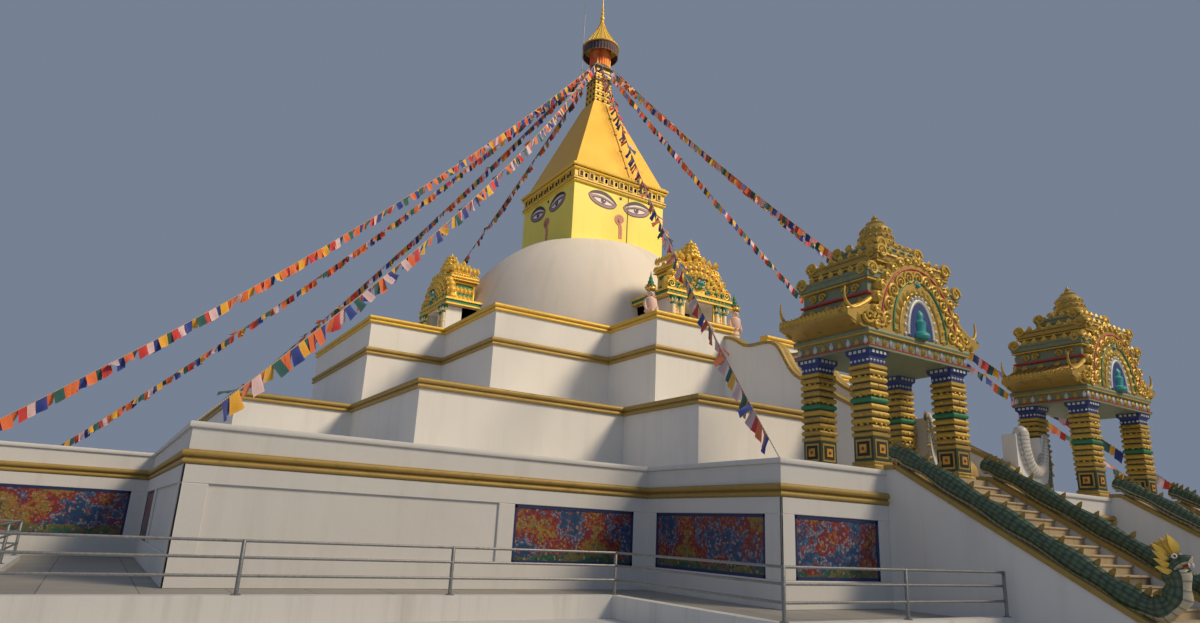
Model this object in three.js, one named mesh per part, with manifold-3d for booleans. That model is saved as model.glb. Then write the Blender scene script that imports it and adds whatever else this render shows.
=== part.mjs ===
// A white three-terrace stupa with a dome, a golden harmika and spire, four
// gateways, two gate pavilions with their stairs, and strings of prayer flags.
// Millimetres, +Z up, the middle of the plinth's underside at the origin, and
// the stair side facing -Y.
import * as THREE from 'three';
import Module from 'manifold-3d';

const wasm = await Module();
wasm.setup();

// Plan half-extents of each terrace: block = faces of the four corner blocks,
// wing = half-width of the projecting bay, reach = face of that bay.
const GROUND = { block: 20600, wing: 10200, reach: 25200 };
const SECOND = { block: 14200, wing: 6700, reach: 18300 };
const THIRD = { block: 10100, wing: 4800, reach: 13400 };

// Heights of the masonry.
const WALK_TOP = 300;
const KERB_TOP = 420;
const GROUND_BAND = [2360, 2730];
const GROUND_FLOOR = 3240;
const SECOND_FLOOR = 5880;
const THIRD_FLOOR = 8640;
const PARAPET_TOP = 9690;
const THIRD_TOP = 10000;
const COPING_HEIGHT = 120;
const SECOND_COPING = 320;
const THIRD_BAND = 320;

// How far bands and copings stand proud, and how deep a coping sits.
const BAND_PROUD = 110;
const COPING_PROUD = 120;
const COPING_SEAT = 400;
const PARAPET_THICK = 300;

// The walkway round the foot, its kerb and its pipe railing.
const WALK_WIDTH = 2800;
const KERB_WIDTH = 250;
const RAIL_TOP = 1240;
const RAIL_MID = [700, 970];
const RAIL_BAY = 3400;
const POST_RADIUS = 32;
const PIPE_RADIUS = 24;

// Dome, harmika, pyramid, shaft, umbrella and pinnacle.
const DOME_RADIUS = 7880;
const DOME_SPRING = 10000;
const DOME_SEGMENTS = 64;
const HARMIKA_BASE = 16600;
const HARMIKA_HALF = 3000;
const HARMIKA_TOP = 20000;
const CORNICE_TOP = 21150;
const PYRAMID_TOP = 26900;
const PYRAMID_HALF = [2950, 690];
const SHAFT_TOP = 31100;
const SHAFT_HALF = 480;
const SHAFT_STAGES = 12;
const SHAFT_STAGE = 200;
const UMBRELLA_RADIUS = 1140;
const VALANCE_DROP = 600;
const CAP_TOP = 33100;
const PINNACLE_TOP = 35400;

// Ground stairs and gate pavilions, measured from the middle of the front.
const FLIGHT_INNER = 3050;
const FLIGHT_OUTER = 6950;
const FLIGHT_WALL = 400;
const RISER = 180;
const GROUND_TREAD = 300;
const GATE_FRONT = 24900;
const GATE_BACK = 22700;
const GATE_INNER = 3100;
const GATE_OUTER = 6900;
const GATE_POST = 620;
const GATE_LINTEL = [6150, 6650];

// Upper stair from the ground-storey roof to the third terrace.
const STAIR_HALF = 950;
const STAIR_WALL = 400;
const UPPER_TREAD = 320;
const LANDING = 960;

// Entrance hall under the front bay.
const HALL_HALF = 2800;
const HALL_TOP = 2130;
const HALL_BACK = 18500;

// All sizes here are those of the real building; the part is its 1:2 scale model.
const MODEL_SCALE = 0.5;

// Gap that pieces keep where their meeting faces are not flat.
const GAP = 0.6;

// Solids.

function solid(geometry) {
  const source = geometry.index ? geometry.toNonIndexed() : geometry;
  const position = source.getAttribute('position');
  const keys = new Map();
  const points = [];
  const corners = [];
  for (let i = 0; i < position.count; i++) {
    const point = [position.getX(i), position.getY(i), position.getZ(i)];
    const key = point.map((v) => Math.round(v * 1000)).join(',');
    if (!keys.has(key)) {
      keys.set(key, keys.size);
      points.push(...point);
    }
    corners.push(keys.get(key));
  }
  const triangles = [];
  for (let i = 0; i < corners.length; i += 3) {
    const [a, b, c] = corners.slice(i, i + 3);
    if (a !== b && b !== c && a !== c) triangles.push(a, b, c);
  }
  return new wasm.Manifold(new wasm.Mesh({
    numProp: 3,
    vertProperties: new Float32Array(points),
    triVerts: new Uint32Array(triangles),
  }));
}

function geometryOf(manifold) {
  const mesh = manifold.getMesh();
  const geometry = new THREE.BufferGeometry();
  geometry.setAttribute('position', new THREE.BufferAttribute(mesh.vertProperties, mesh.numProp));
  geometry.setIndex(new THREE.BufferAttribute(mesh.triVerts, 1));
  geometry.computeVertexNormals();
  return geometry;
}

const join = (...solids) => wasm.Manifold.union(solids);
const cut = (body, ...tools) => wasm.Manifold.difference([body, ...tools]);
const turned = (body, quarter) => body.rotate([0, 0, 90 * quarter]);
const mirrored = (body) => body.mirror([1, 0, 0]);

function box(x, y, z) {
  const geometry = new THREE.BoxGeometry(x[1] - x[0], y[1] - y[0], z[1] - z[0]);
  geometry.translate((x[0] + x[1]) / 2, (y[0] + y[1]) / 2, (z[0] + z[1]) / 2);
  return solid(geometry);
}

const slab = (half, z) => box([-half, half], [-half, half], z);

function prism(shape, z, curveSegments = 12) {
  const geometry = new THREE.ExtrudeGeometry(shape, {
    depth: z[1] - z[0], bevelEnabled: false, curveSegments,
  });
  geometry.translate(0, 0, z[0]);
  return solid(geometry);
}

// An outline drawn in X and Z, extruded from y[0] to y[1].
function upright(shape, y, curveSegments = 12) {
  const geometry = new THREE.ExtrudeGeometry(shape, {
    depth: y[1] - y[0], bevelEnabled: false, curveSegments,
  });
  geometry.rotateX(Math.PI / 2);
  geometry.translate(0, y[1], 0);
  return solid(geometry);
}

// An outline drawn in Y and Z, extruded from x[0] to x[1].
function sideways(shape, x, curveSegments = 12) {
  const geometry = new THREE.ExtrudeGeometry(shape, {
    depth: x[1] - x[0], bevelEnabled: false, curveSegments,
  });
  geometry.rotateX(Math.PI / 2);
  geometry.rotateZ(Math.PI / 2);
  geometry.translate(x[0], 0, 0);
  return solid(geometry);
}

function turnedProfile(points, segments) {
  const geometry = new THREE.LatheGeometry(points.map(([r, z]) => new THREE.Vector2(r, z)), segments);
  geometry.rotateX(Math.PI / 2);
  return solid(geometry);
}

const outline = (points) => new THREE.Shape(points.map(([u, v]) => new THREE.Vector2(u, v)));

// The twelve outer corners and eight inner corners of a terrace.
function plan({ block, wing, reach }, offset = 0) {
  const [a, w, p] = [block + offset, wing + offset, reach + offset];
  const side = [[-a, -a], [-w, -a], [-w, -p], [w, -p], [w, -a]];
  const points = [];
  for (let quarter = 0; quarter < 4; quarter++) {
    for (const [x, y] of side) {
      points.push([[x, y], [-y, x], [-x, -y], [y, -x]][quarter]);
    }
  }
  return points;
}

const terrace = (sizes, z, offset = 0) => prism(outline(plan(sizes, offset)), z);

function ring(sizes, z, inner, outer) {
  return cut(terrace(sizes, z, outer), terrace(sizes, [z[0] - 10, z[1] + 10], inner));
}

const frontGap = (half, z) => box([-half, half], [-THIRD.reach - 500, -THIRD.reach + 500], z);

const group = new THREE.Group();
group.name = 'stupa';

function finish(color, roughness, metalness = 0) {
  return new THREE.MeshStandardMaterial({ color, roughness, metalness });
}

const WHITE = finish(0xe9e6e0, 0.75);
const PALE = finish(0xb9b6ae, 0.85);
const GOLD = finish(0xd9a520, 0.35, 0.6);
const BROWN_GOLD = finish(0x9b7a33, 0.5, 0.3);
const YELLOW = finish(0xf2c21d, 0.4, 0.2);
const STEEL = finish(0x9a9c9e, 0.35, 0.9);
const DARK = finish(0x3a2a1c, 0.6, 0.2);
const TREAD = finish(0x9c8556, 0.8);
const GREEN_GOLD = finish(0x8f8f5a, 0.5, 0.2);
const FLAG = finish(0xb04a4a, 0.9);

function add(name, body, material) {
  const mesh = new THREE.Mesh(geometryOf(body.scale(MODEL_SCALE)), material);
  mesh.name = name;
  group.add(mesh);
}

// Walkway: a plinth under the whole building with a raised kerb.
const edge = WALK_WIDTH;
const walkwayOuter = prism(outline(plan(GROUND, edge)), [0, WALK_TOP]);
const kerb = cut(
  ring(GROUND, [WALK_TOP - 50, KERB_TOP], edge - KERB_WIDTH, edge),
  box([-FLIGHT_OUTER, FLIGHT_OUTER], [-GROUND.reach - edge - 10, -GROUND.reach], [0, 900]),
);
const stairFoot = box(
  [-FLIGHT_OUTER, FLIGHT_OUTER],
  [-GROUND.reach - edge - 10, -GROUND.reach],
  [-10, WALK_TOP + 10],
);
const frontPaving = box([-FLIGHT_INNER, FLIGHT_INNER], [-GROUND.reach - edge, -GROUND.reach], [0, WALK_TOP]);
add('walkway', join(cut(walkwayOuter, stairFoot), kerb, frontPaving), PALE);

// Pipe railing on the kerb, in two halves that stop at the ground stairs.
const railLine = plan(GROUND, edge - KERB_WIDTH / 2);

function pipe(from, to, radius) {
  const low = from.map((v, i) => Math.min(v, to[i]) - (v === to[i] ? radius : 0));
  const high = from.map((v, i) => Math.max(v, to[i]) + (v === to[i] ? radius : 0));
  return box([low[0], high[0]], [low[1], high[1]], [low[2], high[2]]);
}

function railing() {
  const left = railLine.filter(([x]) => x < 0);
  const back = left.findIndex(([, y]) => y > GROUND.reach);
  const path = [...left.slice(back), ...left.slice(0, back)].reverse();
  const route = [[-FLIGHT_OUTER - 150, -GROUND.reach - edge + KERB_WIDTH / 2], ...path];
  route.push([-60, -route[0][1]]);
  const parts = [];
  for (let i = 0; i + 1 < route.length; i++) {
    const [a, b] = [route[i], route[i + 1]];
    const bays = Math.max(1, Math.round(Math.hypot(b[0] - a[0], b[1] - a[1]) / RAIL_BAY));
    for (const height of [...RAIL_MID, RAIL_TOP - 2 * PIPE_RADIUS]) {
      parts.push(pipe([...a, height], [...b, height], PIPE_RADIUS));
    }
    for (let k = 0; k < bays + (i + 2 === route.length ? 1 : 0); k++) {
      const at = a.map((v, axis) => Math.round(v + (b[axis] - v) * k / bays));
      parts.push(pipe([...at, KERB_TOP], [...at, RAIL_TOP], POST_RADIUS));
    }
  }
  return join(...parts);
}

const leftRailing = railing();
add('walkway_railing_left', leftRailing, STEEL);
add('walkway_railing_right', mirrored(leftRailing), STEEL);

// Ground storey: one mass of masonry with the entrance hall cut under its front bay.
const hall = box([-HALL_HALF, HALL_HALF], [-GROUND.reach - 10, -HALL_BACK], [WALK_TOP - 10, HALL_TOP]);
add('ground_storey', cut(join(
  terrace(GROUND, [WALK_TOP, GROUND_FLOOR - COPING_HEIGHT]),
  terrace(GROUND, [GROUND_FLOOR - COPING_HEIGHT - 10, GROUND_FLOOR], -COPING_SEAT),
), hall), WHITE);
const groundBand = ring(GROUND, GROUND_BAND, 0, BAND_PROUD);
const groundCoping = ring(
  GROUND, [GROUND_FLOOR - COPING_HEIGHT, GROUND_FLOOR], -COPING_SEAT, COPING_PROUD / 2);
add('ground_storey_band', groundBand, BROWN_GOLD);
add('ground_storey_coping', groundCoping, WHITE);

// Second terrace and its gold coping.
add('second_terrace', join(
  terrace(SECOND, [GROUND_FLOOR, SECOND_FLOOR - SECOND_COPING]),
  terrace(SECOND, [SECOND_FLOOR - SECOND_COPING - 10, SECOND_FLOOR], -COPING_SEAT),
), WHITE);
const secondCoping = ring(
  SECOND, [SECOND_FLOOR - SECOND_COPING, SECOND_FLOOR], -COPING_SEAT, COPING_PROUD);
add('second_terrace_coping', secondCoping, BROWN_GOLD);

// Third terrace: mass, band at floor level, parapet and its coping.
add('third_terrace', terrace(THIRD, [SECOND_FLOOR, THIRD_FLOOR]), WHITE);
const thirdBand = ring(THIRD, [THIRD_FLOOR - THIRD_BAND, THIRD_FLOOR], 0, BAND_PROUD);
add('third_terrace_band', thirdBand, GOLD);
const parapet = cut(
  ring(THIRD, [THIRD_FLOOR, PARAPET_TOP], -PARAPET_THICK, 0),
  frontGap(STAIR_HALF, [THIRD_FLOOR - 10, PARAPET_TOP + 10]),
);
const leftHalf = box([-20000, 0], [-20000, 20000], [0, 20000]);
const leftParapet = parapet.intersect(leftHalf);
add('third_parapet_left', leftParapet, WHITE);
add('third_parapet_right', mirrored(leftParapet), WHITE);
const leftCoping = cut(
  ring(THIRD, [PARAPET_TOP, THIRD_TOP], -PARAPET_THICK - 60, COPING_PROUD),
  frontGap(STAIR_HALF, [PARAPET_TOP - 10, THIRD_TOP + 10]),
).intersect(leftHalf);
add('third_parapet_coping_left', leftCoping, GOLD);
add('third_parapet_coping_right', mirrored(leftCoping), GOLD);

// Dome: a drum and a sphere cut off where the harmika stands.
function domeProfile(extra) {
  const radius = DOME_RADIUS + extra;
  const points = [[0, THIRD_FLOOR], [radius, THIRD_FLOOR], [radius, DOME_SPRING]];
  const last = Math.asin((HARMIKA_BASE - DOME_SPRING) / DOME_RADIUS);
  for (let i = 1; i <= 10; i++) {
    const angle = last * i / 10;
    points.push([radius * Math.cos(angle), DOME_SPRING + DOME_RADIUS * Math.sin(angle)]);
  }
  points.push([0, HARMIKA_BASE]);
  return points;
}

add('dome', turnedProfile(domeProfile(0), DOME_SEGMENTS), WHITE);
const domeRoom = turnedProfile(
  [[0, THIRD_FLOOR - 10], ...domeProfile(GAP).slice(1).map(([r, z], i) => (i ? [r, z] : [r, z - 10]))],
  DOME_SEGMENTS);

// Gateways: a pedestal, two piers with a doorway between them, a lintel, an
// arched gable and a shrine-shaped roof with a finial. Two guardian posts stand
// on the wider pedestal of the front one.
const GATEWAY = {
  pedestal: 9800, half: 1650, door: 850, doorTop: 12050, lintelTop: 12400, lintelHalf: 1950,
  archRadius: 2000, archDepth: 500, roofTop: 14400, finialTop: 15700,
};
const GUARDIAN = { out: 2500, base: 380, top: 13100 };

function gatewayBody(front, steps) {
  const g = GATEWAY;
  const parts = [
    box([-g.half - 150, g.half + 150], [-front - 150, -5000], [THIRD_FLOOR, g.pedestal]),
    box([-g.half, g.half], [-front, -4500], [g.pedestal - 10, g.doorTop]),
    box([-g.lintelHalf, g.lintelHalf], [-front - 150, -3500], [g.doorTop - 10, g.lintelTop]),
  ];
  for (let i = 1; i < steps; i++) {
    const height = g.pedestal - (g.pedestal - THIRD_FLOOR) * i / steps;
    parts.push(box([-g.door - 200, g.door + 200],
      [-front - 150 - 300 * i, -front], [THIRD_FLOOR, height]));
  }
  const niche = box([-g.door, g.door], [-front - 10, -DOME_RADIUS - 350], [g.pedestal, g.doorTop - 50]);
  return cut(join(...parts), niche, domeRoom);
}

function guardians(front) {
  const { out, base, top } = GUARDIAN;
  const middle = -front + 350;
  const post = turnedProfile([
    [0, 9760], [base, 9760], [base, 10250], [230, 10350],
    [270, 10900], [350, 11500], [340, 12050], [180, 12250], [230, 12500], [120, 12850], [0, top],
  ], 10);
  const plinth = box(
    [-out - base - 100, out + base + 100], [middle - base - 100, middle + base + 100],
    [THIRD_FLOOR, GATEWAY.pedestal - 20]);
  return [plinth, post.translate([-out, middle, 0]), post.translate([out, middle, 0])];
}

function archOutline(radius, base, lobes, lobeDepth, rise = 0.82) {
  const points = [];
  for (let i = 0; i <= lobes * 4; i++) {
    const angle = Math.PI * i / (lobes * 4);
    const reach = radius + lobeDepth * Math.abs(Math.sin(angle * lobes));
    points.push([reach * Math.cos(angle), base + reach * rise * Math.sin(angle)]);
  }
  return outline(points);
}

function gatewayRoof(front) {
  const g = GATEWAY;
  const depth = [-front - 50, -front - 50 + g.archDepth];
  const middle = -front + 950;
  const tiers = [[1500, 13500], [1750, 13750], [1200, 14050], [620, g.roofTop]];
  const parts = [upright(archOutline(g.archRadius - 150, g.lintelTop, 7, 150), depth)];
  let low = g.lintelTop;
  for (const [half, top] of tiers) {
    parts.push(box([-half, half], [middle - half / 2, middle + half / 2], [low, top]));
    low = top - 10;
  }
  const finial = turnedProfile([
    [0, low], [460, low], [440, low + 300], [290, low + 420], [300, low + 700], [130, low + 850],
    [170, low + 980], [60, low + 1120], [0, g.finialTop],
  ], 10).translate([0, middle, 0]);
  return cut(join(...parts, finial), domeRoom);
}

const SIDES = ['front', 'right', 'back', 'left'];
const GATEWAY_FRONT = { front: 10050, right: 9050, back: 9050, left: 9050 };
SIDES.forEach((side, quarter) => {
  const front = GATEWAY_FRONT[side];
  const body = side === 'front'
    ? join(gatewayBody(front, 6), ...guardians(front))
    : gatewayBody(front, 1);
  add(`gateway_${side}`, turned(body, quarter), side === 'front' ? GOLD : WHITE);
  add(`gateway_${side}_roof`, turned(gatewayRoof(front), quarter), GOLD);
});

// Harmika, its cornice and the four-sided pyramid.
add('harmika', slab(HARMIKA_HALF, [HARMIKA_BASE, HARMIKA_TOP]), YELLOW);
add('harmika_cornice', join(
  slab(3120, [HARMIKA_TOP, 20280]),
  slab(3040, [20270, 20720]),
  slab(3160, [20710, 20900]),
  slab(3240, [20890, CORNICE_TOP]),
), GOLD);

const pyramid = new THREE.CylinderGeometry(
  PYRAMID_HALF[1] * Math.SQRT2, PYRAMID_HALF[0] * Math.SQRT2, PYRAMID_TOP - CORNICE_TOP, 4);
pyramid.rotateX(Math.PI / 2);
pyramid.rotateZ(Math.PI / 4);
pyramid.translate(0, 0, (PYRAMID_TOP + CORNICE_TOP) / 2);
add('pyramid', solid(pyramid), YELLOW);

// Ringed shaft: twelve stages, then a plain neck under the umbrella.
const stageHalf = (i) => 600 - i * 6;
const stageBase = (i) => PYRAMID_TOP + i * SHAFT_STAGE;
const stages = [slab(SHAFT_HALF, [PYRAMID_TOP, SHAFT_TOP])];
for (let i = 0; i < SHAFT_STAGES; i++) {
  stages.push(slab(stageHalf(i), [stageBase(i), stageBase(i) + SHAFT_STAGE * 0.6]));
}
add('ringed_shaft', join(...stages), GOLD);

// Collar under the umbrella that holds the flag strings.
const COLLAR = { half: 640, z: [29500, 29620] };
add('flag_collar', cut(
  slab(COLLAR.half, COLLAR.z),
  slab(SHAFT_HALF + GAP, [COLLAR.z[0] - 10, COLLAR.z[1] + 10]),
), STEEL);

// Umbrella: a hanging valance, a ribbed cap over it, and the pinnacle.
const UMBRELLA_SEGMENTS = 24;
add('umbrella_valance', turnedProfile([
  [UMBRELLA_RADIUS - 60, SHAFT_TOP], [UMBRELLA_RADIUS - 60, SHAFT_TOP - VALANCE_DROP],
  [UMBRELLA_RADIUS, SHAFT_TOP - VALANCE_DROP], [UMBRELLA_RADIUS, SHAFT_TOP],
  [UMBRELLA_RADIUS - 60, SHAFT_TOP],
], UMBRELLA_SEGMENTS), DARK);
const capHeight = CAP_TOP - SHAFT_TOP;
const capProfile = [[0, SHAFT_TOP], [UMBRELLA_RADIUS + 50, SHAFT_TOP], [UMBRELLA_RADIUS + 50, SHAFT_TOP + 70]];
for (let i = 1; i <= 6; i++) {
  const t = i / 6;
  capProfile.push([150 + (UMBRELLA_RADIUS - 150) * (1 - t) ** 1.08, SHAFT_TOP + 70 + (capHeight - 70) * t]);
}
add('umbrella_cap', turnedProfile([...capProfile, [0, CAP_TOP]], UMBRELLA_SEGMENTS), GOLD);
add('pinnacle', turnedProfile([
  [0, CAP_TOP], [140, CAP_TOP], [80, CAP_TOP + 120], [140, CAP_TOP + 280], [140, CAP_TOP + 360],
  [65, CAP_TOP + 520], [110, CAP_TOP + 680], [50, CAP_TOP + 830], [80, CAP_TOP + 980],
  [40, CAP_TOP + 1120], [30, CAP_TOP + 1800], [0, PINNACLE_TOP],
], 12), GOLD);

// Lightning rod on two arms, each clamped round a stage of the shaft.
const ROD = { out: 1290, radius: 22, z: [28300, 34200], stages: [8, 11] };

function rodArm(stage) {
  const half = stageHalf(stage) + GAP;
  const z = [stageBase(stage) + 30, stageBase(stage) + 90];
  const clamp = cut(slab(half + 50, z), slab(half, [z[0] - 10, z[1] + 10]));
  return join(clamp, box([-ROD.out, -half - 10], [-20, 20], [z[0] + 10, z[1] - 10]));
}

add('lightning_rod', join(
  pipe([-ROD.out, 0, ROD.z[0]], [-ROD.out, 0, ROD.z[1]], ROD.radius), ...ROD.stages.map(rodArm),
), STEEL);

// Upper stair: treads, and a wall each side that drops in a curve and ends in a naga curl.
const stairTop = -THIRD.reach;
const risers = (THIRD_FLOOR - GROUND_FLOOR) / RISER;
const stairFootY = stairTop - LANDING - (risers - 2) * UPPER_TREAD;
const treads = [[stairTop, THIRD_FLOOR - RISER], [stairTop - LANDING, THIRD_FLOOR - RISER]];
for (let i = 2; i < risers; i++) {
  const y = stairTop - LANDING - (i - 2) * UPPER_TREAD;
  treads.push([y, THIRD_FLOOR - i * RISER], [y - UPPER_TREAD, THIRD_FLOOR - i * RISER]);
}
const stairUnder = [
  [stairFootY, GROUND_FLOOR], [-SECOND.reach, GROUND_FLOOR],
  [-SECOND.reach, SECOND_FLOOR], [stairTop, SECOND_FLOOR],
];
add('upper_stair', cut(
  sideways(outline([...treads, ...stairUnder]), [-STAIR_HALF, STAIR_HALF]),
  secondCoping, thirdBand,
), TREAD);

function stairWall() {
  const shape = new THREE.Shape();
  shape.moveTo(stairTop, 9500);
  shape.bezierCurveTo(-14300, 9300, -14300, 8950, -14900, 8900);
  shape.bezierCurveTo(-15500, 8850, -16100, 9000, -16450, 8500);
  shape.bezierCurveTo(-16900, 7850, -16900, 7500, -17700, 7100);
  shape.lineTo(stairFootY + 400, 4300);
  shape.bezierCurveTo(stairFootY - 100, 4000, stairFootY - 300, 4000, stairFootY - 300, 3600);
  shape.lineTo(stairFootY - 300, GROUND_FLOOR);
  for (const [y, z] of stairUnder.slice(1)) shape.lineTo(y, z);
  const x = [STAIR_HALF, STAIR_HALF + STAIR_WALL];
  const wall = cut(sideways(shape, x, 6), secondCoping, thirdBand);
  const curl = new THREE.Shape();
  curl.moveTo(x[1] - 100, GROUND_FLOOR);
  curl.lineTo(x[1] + 1400, GROUND_FLOOR);
  curl.lineTo(x[1] + 1400, GROUND_FLOOR + 250);
  curl.bezierCurveTo(x[1] + 1700, 3700, x[1] + 1700, 4300, x[1] + 1580, 5050);
  curl.lineTo(x[1] + 1180, 5050);
  curl.bezierCurveTo(x[1] + 1350, 4300, x[1] + 1250, 3900, x[1] + 850, 3900);
  curl.bezierCurveTo(x[1] + 450, 3900, x[1] + 350, 4400, x[1] + 300, 5050);
  curl.lineTo(x[1] - 100, 5050);
  const y = [stairFootY - 300, stairFootY + 150];
  return join(wall, upright(curl, y, 6));
}

const rightStairWall = stairWall();
add('upper_stair_wall_right', rightStairWall, WHITE);
add('upper_stair_wall_left', mirrored(rightStairWall), WHITE);

// Ground stairs: treads between two side walls, from the front paving up to the gates.
const groundRisers = GROUND_FLOOR / RISER;
const groundTop = -GROUND.reach;
const groundFootY = groundTop - groundRisers * GROUND_TREAD;

function groundStair() {
  const steps = [[groundTop, GROUND_FLOOR], [groundTop - GROUND_TREAD, GROUND_FLOOR]];
  for (let i = 1; i < groundRisers; i++) {
    const y = groundTop - i * GROUND_TREAD;
    steps.push([y, GROUND_FLOOR - i * RISER], [y - GROUND_TREAD, GROUND_FLOOR - i * RISER]);
  }
  const x = [FLIGHT_INNER + FLIGHT_WALL, FLIGHT_OUTER - FLIGHT_WALL];
  const flight = sideways(outline([...steps, [groundFootY, 0], [groundTop, 0]]), x);
  return cut(flight, groundBand, groundCoping);
}

const rightFlight = groundStair();
add('ground_stair_right', rightFlight, PALE);
add('ground_stair_left', mirrored(rightFlight), PALE);

// Side walls of the ground stairs, each topped by a naga: its body runs down the
// slope and its head rises at the foot.
function nagaWall(x) {
  const wall = outline([
    [groundTop, GROUND_FLOOR + 60], [groundTop - 300, GROUND_FLOOR + 60],
    [groundFootY + 200, 420], [groundFootY - 150, 420], [groundFootY - 150, 0], [groundTop, 0],
  ]);
  const naga = new THREE.Shape();
  naga.moveTo(groundTop - 80, GROUND_FLOOR);
  naga.lineTo(groundTop - 300, GROUND_FLOOR);
  naga.lineTo(groundFootY + 200, 360);
  naga.lineTo(groundFootY - 100, 360);
  naga.bezierCurveTo(groundFootY - 350, 800, groundFootY - 350, 1300, groundFootY - 250, 1750);
  naga.lineTo(groundFootY + 150, 1750);
  naga.bezierCurveTo(groundFootY + 50, 1300, groundFootY + 100, 1050, groundFootY + 450, 1000);
  naga.lineTo(groundTop - 450, GROUND_FLOOR + 480);
  naga.bezierCurveTo(groundTop - 300, 3850, groundTop - 200, 3900, groundTop - 80, 3850);
  return cut(
    join(sideways(wall, [x, x + FLIGHT_WALL]), sideways(naga, [x + 40, x + FLIGHT_WALL - 40], 6)),
    groundBand, groundCoping,
  );
}

const nagaWalls = { inner: nagaWall(FLIGHT_INNER), outer: nagaWall(FLIGHT_OUTER - FLIGHT_WALL) };
for (const [place, body] of Object.entries(nagaWalls)) {
  add(`naga_wall_right_${place}`, body, GREEN_GOLD);
  add(`naga_wall_left_${place}`, mirrored(body), GREEN_GOLD);
}

// Gate pavilions: four posts under a lintel frame, arched gables and a stepped ringed roof.
const gateMiddle = [(GATE_INNER + GATE_OUTER) / 2, -(GATE_FRONT + GATE_BACK) / 2];

function gateBody() {
  const xs = [[GATE_INNER, GATE_INNER + GATE_POST], [GATE_OUTER - GATE_POST, GATE_OUTER]];
  const ys = [[-GATE_FRONT, -GATE_FRONT + GATE_POST], [-GATE_BACK - GATE_POST, -GATE_BACK]];
  const posts = xs.flatMap((x) => ys.map((y) => box(x, y, [GROUND_FLOOR, GATE_LINTEL[0] + 10])));
  const lintel = box([GATE_INNER - 100, GATE_OUTER + 100], [-GATE_FRONT - 100, -GATE_BACK + 100], GATE_LINTEL);
  return join(...posts, lintel);
}

function gateRoof() {
  const [cx, cy] = gateMiddle;
  const base = GATE_LINTEL[1];
  const eave = outline([
    [-2100, base], [2100, base], [2650, base + 200], [2700, base + 950], [2450, base + 950],
    [2300, base + 550], [1900, base + 650], [-1900, base + 650], [-2300, base + 550],
    [-2450, base + 950], [-2700, base + 950], [-2650, base + 200],
  ]);
  const parts = [
    upright(eave, [-1150, 1150]),
    upright(archOutline(1750, base, 7, 130, 1.2), [-1250, 1250], 4),
  ];
  let low = base + 600;
  for (const [half, top] of [[1900, base + 1600], [1500, base + 2150], [950, base + 2600]]) {
    const depth = Math.min(half * 0.8, 1200);
    parts.push(box([-half, half], [-depth, depth], [low, top]));
    low = top - 10;
  }
  parts.push(turnedProfile([
    [0, low], [560, low], [560, low + 160], [470, low + 210], [520, low + 370], [420, low + 420],
    [450, low + 570], [380, low + 620], [400, low + 820], [220, low + 980], [80, low + 1050],
    [0, low + 1250],
  ], 12));
  return join(...parts).translate([cx, cy, 0]);
}

const [rightGate, rightGateRoof] = [gateBody(), gateRoof()];
add('gate_right', rightGate, GREEN_GOLD);
add('gate_left', mirrored(rightGate), GREEN_GOLD);
add('gate_right_roof', rightGateRoof, GOLD);
add('gate_left_roof', mirrored(rightGateRoof), GOLD);

// Prayer-flag strings: each hangs from the collar to an outer corner of the ground storey.
const STRING_RADIUS = 12;
const STRING_SAG = 0.03;
const STRING_STEPS = 14;

function stringTo([x, y]) {
  const outward = new THREE.Vector3(x, y, 0).normalize();
  const start = new THREE.Vector3(x, y, 0)
    .multiplyScalar(COLLAR.half / Math.max(Math.abs(x), Math.abs(y)))
    .addScaledVector(outward, STRING_RADIUS * 0.9 + GAP);
  start.z = (COLLAR.z[0] + COLLAR.z[1]) / 2;
  const end = new THREE.Vector3(x, y, GROUND_FLOOR).addScaledVector(outward, -60);
  const sag = STRING_SAG * start.distanceTo(end);
  const drop = start.z - end.z - 4 * sag;
  const run = Math.hypot(end.x - start.x, end.y - start.y);
  end.z += STRING_RADIUS * run / Math.hypot(run, drop) + GAP;
  const points = [];
  for (let i = 0; i <= STRING_STEPS; i++) {
    const t = i / STRING_STEPS;
    const point = start.clone().lerp(end, t);
    point.z -= 4 * t * (1 - t) * sag;
    points.push(point);
  }
  const section = new THREE.Shape();
  section.absarc(0, 0, STRING_RADIUS, 0, Math.PI * 2);
  const geometry = new THREE.ExtrudeGeometry(section, {
    steps: STRING_STEPS, curveSegments: 4, bevelEnabled: false,
    extrudePath: new THREE.CatmullRomCurve3(points),
  });
  return solid(geometry);
}

const outerCorners = plan(GROUND).filter(([x, y]) => Math.abs(x * y) >= GROUND.wing * GROUND.reach);
outerCorners.forEach((corner, i) => add(`flag_string_${i + 1}`, stringTo(corner), FLAG));

export default group;
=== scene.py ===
import math
import random

import bpy
from mathutils import Matrix, Vector


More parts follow.
